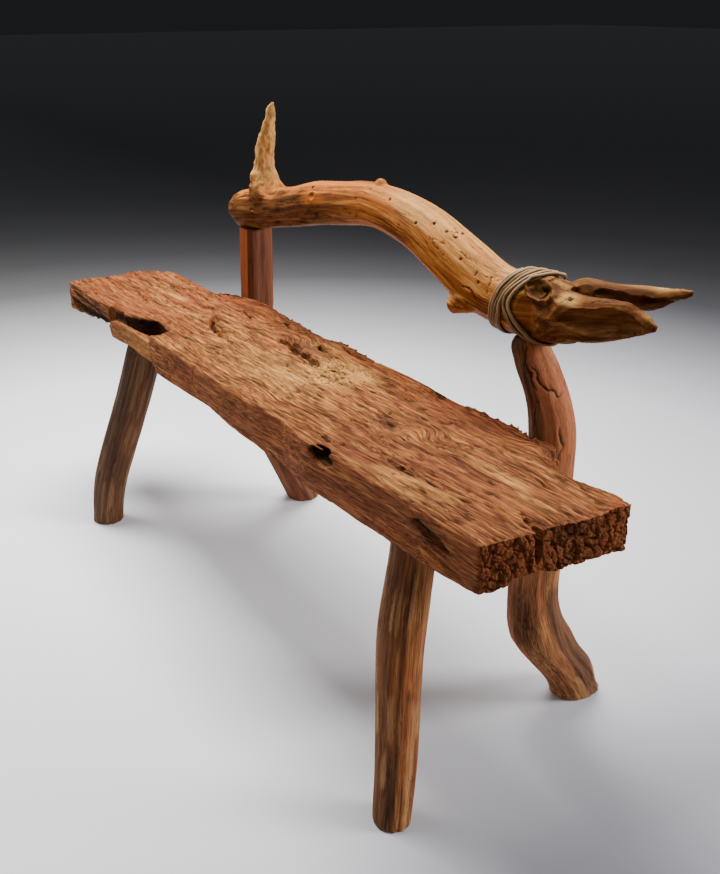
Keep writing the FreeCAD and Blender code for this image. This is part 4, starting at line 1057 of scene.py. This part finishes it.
points = sink(points, facing, 1.6 * low_part * np.abs(swells(grain, (90, 10, 10), 83)))
drawn = np.zeros(len(points))
wander = points + 2.5 * drift(points, 12, 84)
for line in POST_CRACKS:
    drawn = np.maximum(drawn, near_line(wander, laid_on(points, line), 2.6))
points = sink(points, facing, 2.5 * drawn)
points[:, 2] = np.maximum(points[:, 2], 0)
put_points(post, points)
upper = 1 - low_part
# upper half: pinker towards +x, partly its own colour and partly painted light, and darker grey on
# the faces turned away as painted shade; painted shade in the cracks
tell_all(post, grain, hollow=np.maximum(0.8 * crack, ease(0.1, 0.6, drawn)),
         red=(upper * ease(-0.1, 0.6, facing[:, 0]) * 0.9
              + low_part * 0.7 * ease(0.0, 0.4, swells(grain, (120, 14, 14), 87))),
         grey=(upper * ease(0.3, -0.3, facing[:, 0] + 0.6 * facing[:, 1])
               + low_part * 0.8 * ease(0.0, 0.5, swells(grain, (90, 26, 26), 88))
               + 0.6 * near_spot(points, (520, 190, 60), (60, 60, 60))),
         pale=0.45 * ease(0.15, 0.5, swells(grain, (150, 11, 11), 89)))
finish_piece(post, branch_wood, "posts", "back_right_post")

# %% [markdown]
# ## The back rail
# One forked branch, polished by hands and weather until it glows. It starts blunt at the left
# under an upright prong, rises over a crown with a small knot, dips to a neck, and opens into a
# forked head: a hollow jaw in front, a thin one behind, and a round knot hole like an eye. The
# skin is softened until the trunk, prong and jaws grow out of each other.

# %% The grown branch
RAIL_FACE = 1.9
rail = copy_solid("grown_rail", "back_rail")
even_skin(rail, RAIL_FACE)
soften(rail, 60)
print("rail points:", len(rail.data.vertices))

# %% The grain of a forked branch
RAIL_TRUNK = np.array(((-470, 127, 594), (-449, 127, 594), (-385, 127, 604), (-327, 127, 613),
                       (-214, 128, 633), (-138, 128, 650), (-64, 129, 661), (33, 130, 674),
                       (102, 130, 669), (172, 131, 654), (234, 131, 629), (288, 132, 608),
                       (343, 132, 594), (407, 132, 596), (464, 130, 600), (520, 128, 606)), float)
FRONT_JAW = np.array(((407, 118, 600), (470, 112, 603), (540, 105, 614), (600, 104, 626),
                      (665, 104, 627)), float)
REAR_JAW = np.array(((407, 136, 612), (480, 143, 632), (560, 145, 642), (610, 145, 650),
                     (665, 145, 668)), float)
PRONG = np.array(((-325, 127, 605), (-329, 127, 660), (-333, 127, 687), (-329, 127, 715),
                  (-319, 127, 743), (-308, 127, 770), (-298, 127, 794), (-292, 127, 812)), float)
JAWS_START = 880  # how far along the trunk the grain of the jaws goes on


def on_prong(points, low, high):
    """1 on the prong and 0 on the trunk, with a smooth step between two heights."""
    return ease(low, high, points[:, 2]) * ease(-240, -280, points[:, 0])


def rail_grain(points):
    """Along the trunk, the prong or a jaw, whichever a point belongs to, blended at the forks."""
    upright = on_prong(points, 636, 668)
    x, y, _ = points.T
    parts = ((RAIL_TRUNK, ease(500, 430, x) * (1 - upright), 0), (PRONG, upright, 0),
             (FRONT_JAW, ease(430, 500, x) * ease(131, 121, y), JAWS_START),
             (REAR_JAW, ease(430, 500, x) * ease(121, 131, y), JAWS_START))
    total = np.zeros_like(points)
    weight = np.full(len(points), 1e-6)
    for line, share, start in parts:
        total += (along_stick(points, line) + (start, 0, 0)) * share[:, None]
        weight += share
    return total / weight[:, None]


print("trunk measured:", round(measured(RAIL_TRUNK)[1][-1]), "mm")

# %% [markdown]
# ### Knots, the eye and the hollow jaws
# The small forms of the branch are spots, and lines laid on its skin, each with a reach and a
# depth: it sinks or swells the skin around it. The eye is three of them: a dish, a raised ring
# round it and a slot in it.

# %% Model the branch's own forms
RAIL_EYE = (447, 104, 630)
RAIL_SPOTS = (
    # centre, reach along each axis, how far it sinks (less than 0 swells)
    ((-114, 95, 670), (21, 20, 17), -3.0), ((-114, 91, 670), (11, 14, 9), 5.0),
    ((-100, 96, 640), (9, 14, 8), 3.0), ((-60, 95, 640), (70, 20, 9), 2.0),
    ((-430, 90, 575), (30, 30, 18), 4.0), ((-440, 150, 620), (30, 30, 20), 4.0),
    ((-400, 112, 640), (30, 26, 14), 3.0), ((-345, 100, 640), (22, 22, 10), 3.5),
    ((-372, 100, 655), (26, 20, 10), -2.0), ((-342, 108, 672), (14, 16, 10), -3.5),
    (RAIL_EYE, (18, 15, 14), 5.5), ((316, 92, 598), (26, 14, 12), -1.2),
    ((596, 98, 650), (16, 12, 12), -2.5), ((628, 100, 634), (18, 14, 10), -2.0),
    ((281, 86, 573), (14, 14, 14), -2.0), ((56, 123, 716), (17, 17, 13), 2.5),
    ((-345, 120, 768), (16, 18, 20), 3.5),
    ((-345, 112, 668), (12, 16, 7), -4.5), ((-340, 110, 655), (18, 16, 5), 3.5),
    ((-318, 105, 690), (5, 10, 26), 2.0), ((-306, 108, 735), (5, 10, 20), 1.5),
)
RAIL_GROOVES = (
    # line on the skin, half width, how far it sinks (less than 0 swells), steepness
    (((419, 107, 631), (426, 110, 637), (436, 115, 639), (452, 114, 639), (468, 108, 634),
      (480, 95, 629), (473, 93, 621), (454, 96, 617), (439, 96, 621), (427, 101, 626),
      (419, 107, 631)), 5.5, -5.5, 0.9),
    (((478, 96, 628), (497, 89, 623), (489, 87, 609), (480, 90, 598), (496, 89, 592)),
     7, -2.6, 1.0),
    (((500, 87, 606), (530, 88, 611), (560, 90, 615), (590, 92, 621), (626, 97, 627)),
     18, 14, 0.5),
    (((430, 96, 608), (437, 93, 592), (430, 98, 574)), 20, 8, 0.6),
    (((450, 93, 588), (490, 90, 582), (540, 92, 584)), 10, 4, 0.8),
    (((490, 125, 628), (540, 124, 632), (590, 124, 640), (620, 128, 645)), 13, 9, 0.6),
    (((515, 131, 636), (560, 131, 638), (600, 134, 643), (628, 136, 650)), 9, 6, 0.6),
    (((-330, 91, 612), (-255, 94, 619), (-186, 96, 627), (-120, 97, 634), (-59, 100, 640)),
     8, 3, 0.8),
    (((-344, 98, 590), (-231, 100, 606), (-136, 107, 620)), 6, 2.2, 0.8),
    (((-400, 100, 620), (-360, 98, 634), (-310, 100, 648)), 5, 2.5, 0.8),
    (((150, 92, 655), (230, 90, 625), (300, 88, 600)), 14, 1.6, 1.0),
)
RAIL_CRACKS = (
    # line on the skin, half width, depth
    (((446, 107, 633), (457, 105, 631), (463, 106, 634)), 3.6, 7),
    (((459, 104, 630), (458, 99, 625), (455, 97, 622)), 3.4, 7),
    (((496, 92, 628), (507, 95, 634), (521, 96, 638)), 1.8, 2),
    (((506, 90, 628), (510, 100, 642)), 1.6, 2),
    (((500, 98, 640), (516, 92, 630)), 1.5, 2),
    (((545, 95, 637), (559, 97, 642), (575, 98, 645)), 1.8, 2),
    (((236, 127, 673), (246, 124, 669), (256, 125, 665)), 1.9, 3),
    (((240, 119, 671), (257, 114, 662)), 1.7, 3),
    (((246, 118, 670), (250, 126, 668)), 1.5, 2),
    (((276, 106, 648), (303, 108, 640)), 1.8, 2),
    (((324, 112, 638), (338, 116, 635), (352, 115, 631)), 1.9, 3),
    (((336, 103, 625), (348, 105, 627), (358, 107, 625)), 1.8, 2.5),
    (((357, 106, 624), (373, 108, 627)), 1.7, 2),
    (((316, 108, 634), (322, 100, 620)), 1.6, 2),
    (((345, 110, 630), (352, 100, 616), (350, 95, 600)), 1.6, 2),
    (((298, 93, 604), (312, 92, 606), (323, 93, 600), (334, 96, 586)), 2.2, 2.5),
    (((-15, 99, 668), (4, 97, 658), (10, 96, 652)), 1.8, 2.5),
    (((78, 108, 701), (86, 112, 699)), 1.8, 2.5),
    (((210, 98, 660), (240, 96, 645), (262, 97, 634)), 1.4, 1.6),
    (((-240, 98, 640), (-190, 97, 646), (-160, 98, 650)), 1.5, 1.6),
)
RAIL_PITS = ((102, 106, 695), (211, 110, 676), (255, 129, 667), (237, 113, 669), (255, 117, 663),
             (-127, 107, 681), (44, 112, 702), (-171, 110, 673), (285, 100, 640),
             (180, 100, 672), (140, 112, 690), (20, 100, 684), (330, 99, 615), (300, 100, 622))
PIT_REACH, PIT_DEPTH = (3.6, 5, 3.6), 2.5


def model_branch(piece):
    """Forms, cracks and pits of the branch. Returns the painted shade of each point in its cracks
    and pits, and where it lay after the spots, before lines and pits."""
    points, facing = points_of(piece), normals_of(piece)
    for spot, reach, depth in RAIL_SPOTS:
        spot = laid_on(points, (spot, spot))[0]
        points = sink(points, facing, depth * near_spot(points, spot, reach))
    base = points.copy()
    uneven = base + 3 * drift(base, 24, 100)
    for line, half_width, depth, steep in RAIL_GROOVES:
        near = near_line(uneven, laid_on(base, line), half_width)
        points = sink(points, facing, depth * near ** steep)
    splinters = on_prong(base, 645, 670) * 1.9 * rough_swells(base, (10, 10, 15), 106)
    points = sink(points, facing, splinters)
    tips = ease(585, 640, base[:, 0]) * 1.3 * rough_swells(base, (14, 13, 11), 104)
    points = sink(points, facing, tips)
    # dark: the painted shade in the cracks and the pits
    dark = np.zeros(len(points))
    wavy = base + 1.6 * drift(base, 7, 91)
    for line, half_width, depth in RAIL_CRACKS:
        near = near_line(wavy, laid_on(base, line), half_width * 0.8)
        points = sink(points, facing, depth * near)
        dark = np.maximum(dark, ease(0.05, 0.6, near))
    for spot in RAIL_PITS:
        near = near_spot(base, spot, PIT_REACH)
        points = sink(points, facing, PIT_DEPTH * near)
        dark = np.maximum(dark, ease(0.1, 0.6, near))
    put_points(piece, points)
    return dark, base


dark, base = model_branch(rail)
grain = rail_grain(base)
crack = weather_stick(rail, grain, 95, dent=1.1, ridge=0.8, fibre=0.3, crack_depth=1.4,
                      crack_share=0.16, ridge_size=(190, 15, 15))

# %% [markdown]
# ### Honey, cream and bark
# Where hands polish it the branch is honey, and its upward faces are cream, partly polish and
# partly a painted highlight. The bark side under the left half stays dark in streaks, the head is
# brown with orange hollows, and the holes and cracks get a nearly black painted shade.

# %% Parts and patches of the branch
facing = normals_of(rail)
x = base[:, 0]
head = ease(400, 440, x)
prong = on_prong(base, 650, 684)
bark = ease(0.80, 0.50, facing[:, 2] + 0.25 * rough_swells(grain, (60, 14, 14), 97))
bark = bark * ease(0.25, 0.0, facing[:, 1] + 0.4 * facing[:, 2]) * ease(60, -110, x) * (1 - prong)
bark = bark * (1 - near_spot(base, (-114, 92, 668), (60, 40, 24)))
# upward faces are painted cream: partly polish, partly a painted highlight
cream_and_highlight = ease(0.1, 0.9, facing[:, 2]) * ease(20, 200, x) * (1 - head)
flaked = bark * ease(0.1, 0.5, rough_swells(grain, (16, 6, 6), 112))
ring, _, jaw, under_eye, _, rear_gap, rear_hollow = [laid_on(base, line[0])
                                                     for line in RAIL_GROOVES[:7]]
jaw_hollow = near_line(base, jaw, 24)
eye_dish = near_line(base, under_eye, 26)
gap = np.maximum(near_line(base, rear_gap, 16), near_line(base, rear_hollow, 11))
eye_ring = near_line(base, ring, 12) - near_line(base, ring, 6)
dish = near_spot(base, laid_on(base, (RAIL_EYE, RAIL_EYE))[0], (18, 16, 16))
streaky = ease(-0.1, 0.5, swells(grain, (110, 9, 9), 98))
blotch = ease(-0.1, 0.4, swells(grain, (70, 22, 22), 96))
pit = ease(0.11, 0.06, lumps(grain, (30, 17, 17), 107)[0]) * (1 - prong)
pit = pit * ease(-0.1, 0.2, swells(grain, (120, 40, 40), 108))
splintered = ease(0.25, 0.6, rough_swells(base, (8, 8, 14), 110))
mottled = ease(0.0, 0.4, rough_swells(base, (13, 13, 18), 109))
print("points on the head:", int(head.sum()), "under bark:", int(bark.sum()))

# %% Dress the branch
tell_all(rail, grain,
         # painted shade in the cracks, pits, knot hole, eye dish, jaw hollow and the gap between
         # the jaws; the flaked bark, the prong's splinters and the eye's ring are the wood's own
         # dark
         hollow=np.maximum.reduce([
             dark, pit, 0.6 * flaked, 0.8 * near_spot(base, (-114, 91, 670), (10, 14, 8)),
             0.35 * prong * splintered, 0.8 * crack, 0.85 * gap, 0.45 * dish, 1.4 * eye_ring,
             0.35 * jaw_hollow * blotch]),
         grey=(0.95 * bark + head * (0.95 - 0.5 * eye_dish - 0.2 * jaw_hollow)
               + prong * 0.3 * mottled),
         red=(0.95 * np.maximum(jaw_hollow * (1 - blotch) * 0.9, eye_dish)
              + 0.6 * blotch * ease(-0.4, 0.4, -facing[:, 1]) * (1 - prong) * (1 - head)
              + 0.5 * ease(200, -100, x) * (1 - prong) * (1 - bark)
              + 0.3 * prong * (1 - streaky)
              + 0.8 * near_spot(base, (-105, 92, 668), (60, 40, 26))
              + 0.7 * near_spot(base, (316, 92, 598), (26, 14, 14))),
         # pale: cream on the upward faces and on the head's top, partly polish and partly a
         # painted highlight
         pale=(0.8 * cream_and_highlight * (0.4 + 0.6 * streaky) + prong * (0.8 + 0.2 * streaky)
               + near_spot(base, (508, 94, 634), (30, 18, 12))
               + 0.25 * head * ease(0.5, 0.95, facing[:, 2]) * streaky
               + 0.35 * near_spot(base, (612, 140, 664), (24, 26, 12))))
honey = wood_finish("polished_branch", dark=(84, 43, 16), deep=(132, 74, 29),
                    middle=(174, 106, 46), light=(216, 152, 78), red=(176, 94, 32),
                    pale=(242, 186, 110), grey=(56, 32, 17), streak=(120, 7),
                    fibre=(40, 1.3), hair=(70, 7, 0.012), relief=0.35, rough=(0.50, 0.72),
                    gloss=0.05)
finish_piece(rail, honey, "rail", "back_rail")

# %% [markdown]
# ## The vine lashing
# One length of split vine, wound eight times round the neck: five turns go down on the left of
# the post and three slant over to its right. Its line is told quarter by quarter, as a place
# along the rail and an angle, and each point is then laid on the carved branch by a ray, so the
# strands hug its dents.

# %% The line of the vine
VINE_MIDDLE = 404
RAIL_THICK = 78
NECK = RAIL_THICK * 1.08  # how thick the branch is at its neck
LEFT_TURNS = 5
STEP_TOP, STEP_SIDE, STEP_UNDER = 10.2, 5.9, 5.6
# where the first turn passes the top, the front and the underside, left of the middle, and where
# the first right-hand turn passes the underside, right of it, all counted in thicknesses
START_TOP, START_SIDE, START_UNDER, RIGHT_UNDER = 0.31, 0.47, 0.685, 0.38
RIGHT_SHIFT = 6
VINE_RADIUS = 2.4
TOP_SHIFTS = (0, 5, -3, 6, -5, 5, -4, 2)  # one for each of the eight turns


def vine_quarters():
    """(place along the rail, angle from the top towards the front) at every quarter turn."""
    first = VINE_MIDDLE - NECK * START_SIDE
    quarters = [(first - STEP_SIDE, -math.pi / 2)]
    for turn, shift in enumerate(TOP_SHIFTS):
        start = turn * 2 * math.pi
        above = VINE_MIDDLE - NECK * START_TOP + STEP_TOP * turn + shift
        beside = first + STEP_SIDE * turn
        below = VINE_MIDDLE - NECK * START_UNDER + STEP_UNDER * turn
        if turn >= LEFT_TURNS:
            beside += RIGHT_SHIFT
            below = VINE_MIDDLE + NECK * RIGHT_UNDER
            below += STEP_UNDER * 1.45 * (turn - LEFT_TURNS)
        quarters += [(above, start), (beside, start + math.pi / 2), (below, start + math.pi),
                     (beside + STEP_SIDE / 4, start + math.pi * 1.5)]
    return np.array(quarters)


# %% Lay the vine on the branch
QUARTER_STEPS = 24
RAY = 90  # the rays start this far out from the trunk's middle line
MISSED = 40.0  # how far out the vine lies where a ray misses the branch
CREST_REACH, CREST_EVEN = 5, 4  # how many steps each way


def vine_line(surface):
    """Points of the vine's middle line, laid on the branch."""
    quarters = vine_quarters()
    count = len(quarters) - 1
    share = np.linspace(0, count, count * QUARTER_STEPS + 1)
    number = np.minimum(share.astype(int), count - 1)
    padded = np.vstack([2 * quarters[0] - quarters[1], quarters, 2 * quarters[-1] - quarters[-2]])
    p0, p1, p2, p3 = (padded[number + shift] for shift in range(4))
    t = (share - number)[:, None]
    told = 0.5 * (2 * p1 + (p2 - p0) * t + (2 * p0 - 5 * p1 + 4 * p2 - p3) * t ** 2
                  + (3 * p1 - 3 * p2 + p3 - p0) * t ** 3)
    angle = told[:, 1]
    # the strands wander a little, and bunch to the left where they pass the top of the front
    told[:, 0] += 2.0 * swells(np.column_stack([angle * 40, 0 * angle, 0 * angle]), 90, 115)
    bunched = ease(0.5, 1.0, np.cos(angle - math.pi / 4))
    told[:, 0] -= 11 * bunched * ease(1.5, 6, angle / (2 * math.pi))
    middle = line_at(RAIL_TRUNK, RAIL_TRUNK[:, 0], told[:, 0])
    way = np.stack([0 * angle, -np.sin(angle), np.cos(angle)], 1)
    radius = []
    for spot, out in zip(middle, way):
        hit = surface.ray_cast(Vector((spot + out * RAY) * MM), Vector(-out), RAY * MM)[0]
        radius.append(np.linalg.norm(np.array(hit) / MM - spot) if hit else MISSED)
    radius = np.array(radius)
    # the strand bridges the dents: it keeps near the highest places around it, evened out
    padded = np.pad(radius, CREST_REACH, mode="edge")
    crest = np.max([padded[shift:shift + len(radius)] for shift in range(2 * CREST_REACH + 1)],
                   axis=0)
    even = 2 * CREST_EVEN + 1
    crest = np.convolve(np.pad(crest, CREST_EVEN, mode="edge"), np.ones(even) / even, mode="valid")
    lift = np.maximum(crest * 0.6 + radius * 0.4, radius) + VINE_RADIUS * 0.9
    over = (np.round(angle / (2 * math.pi)) % 2) * ease(-0.2, 0.8, np.cos(angle))
    return middle + way * (lift + 1.3 * VINE_RADIUS * over)[:, None]


STRAND_SIDES = 12


def strand(name, line, radius, seed):
    """A tube along a line, with fibres as shallow grooves and a girth that changes a little."""
    count, sides = len(line), STRAND_SIDES
    ways = np.gradient(line, axis=0)
    ways /= np.linalg.norm(ways, axis=1)[:, None]
    side = np.cross(ways[0], (0, 0, 1.0))
    corners, told = [], []
    length = measured(line)[1]
    angle = np.arange(sides) * 2 * math.pi / sides
    for number in range(count):
        side = side - ways[number] * (side @ ways[number])
        side /= np.linalg.norm(side)
        up = np.cross(ways[number], side)
        ring = np.cos(angle)[:, None] * side + np.sin(angle)[:, None] * up
        told.append(np.column_stack([np.full(sides, length[number]), np.cos(angle) * radius,
                                     np.sin(angle) * radius]))
        corners.append(ring)
    told = np.concatenate(told)
    girth = 1 + 0.10 * swells(told, (46, 9, 9), seed)
    girth = girth + 0.05 * swells(told, (30, 1.6, 1.6), seed + 1)
    ends = np.minimum(length, length[-1] - length)
    taper = np.repeat(0.35 + 0.65 * ease(0, 8, ends), sides)
    rings = np.concatenate(corners) * (radius * girth * taper)[:, None]
    places = np.repeat(line, sides, axis=0) + rings
    first = np.arange((count - 1) * sides)
    ahead = (first // sides) * sides + (first + 1) % sides
    faces = np.stack([first, ahead, ahead + sides, first + sides], 1).tolist()
    faces.append(list(range(sides))[::-1])
    faces.append(list(range((count - 1) * sides, count * sides)))
    mesh = bpy.data.meshes.new(name)
    mesh.from_pydata((places * MM).tolist(), [], faces)
    piece = add_object(name, mesh)
    return piece, told, length[-1]


# %% Wind the vine
surface = BVHTree.FromPolygons([v.co for v in rail.data.vertices],
                               [tuple(p.vertices) for p in rail.data.polygons])
vine_wood = wood_finish("split_vine", dark=(62, 38, 20), deep=(102, 70, 40),
                        middle=(140, 101, 60), light=(184, 144, 94), red=(126, 84, 48),
                        pale=(208, 176, 130), grey=(88, 70, 50), streak=(60, 1.6),
                        fibre=(30, 0.7), hair=(60, 1.6, 0.02), relief=0.3, rough=(0.5, 0.7))
lashing, grain, vine_length = strand("vine_winding", vine_line(surface), VINE_RADIUS, 111)
vine_told = points_of(lashing)
outward = vine_told - line_at(RAIL_TRUNK, RAIL_TRUNK[:, 0], vine_told[:, 0])
outward[:, 0] = 0
outward /= np.linalg.norm(outward, axis=1)[:, None]
# painted shade where the vine turns in towards the branch; the higher strands are painted paler
# and the lower ones greyer: painted light from above and painted shade below
painted_inner_shade = ease(0.45, -0.35, (normals_of(lashing) * outward).sum(1))
height = vine_told[:, 2]
tell_all(lashing, grain, hollow=0.9 * painted_inner_shade,
         pale=(0.35 + 0.45 * ease(590, 650, height)) * (1 - painted_inner_shade),
         grey=0.5 * ease(590, 550, height))
finish_piece(lashing, vine_wood, "vine", "vine_lashing")
print(f"vine wound: {vine_length:.0f} mm")

# %% [markdown]
# ## Pegs, dowels and wedges
# The small hidden fastenings stay as packed. They get a plain split-wood finish whose grain runs
# along each pin: the pegs lie front to back, the dowels and wedges stand.

# %% Finish the fastenings
pin_colours = {"dark": (86, 54, 32), "deep": (132, 88, 52), "middle": (164, 114, 70),
               "light": (196, 148, 98), "relief": 0.3, "packed": True}
lying_pin = wood_finish("lying_pin", streak=(5, 80, 5), fibre=(1.0, 24, 1.0),
                        hair=(4, 60, 0.012), **pin_colours)
standing_pin = wood_finish("standing_pin", streak=(5, 5, 80), fibre=(1.0, 1.0, 24),
                           hair=(4, 4, 0.012), **pin_colours)
for name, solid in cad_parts.items():
    if name.endswith(("_peg_upper", "_peg_lower", "_dowel", "_wedge")):
        solid.data.materials.clear()
        solid.data.materials.append(lying_pin if "_peg_" in name else standing_pin)
        print("finished:", name)
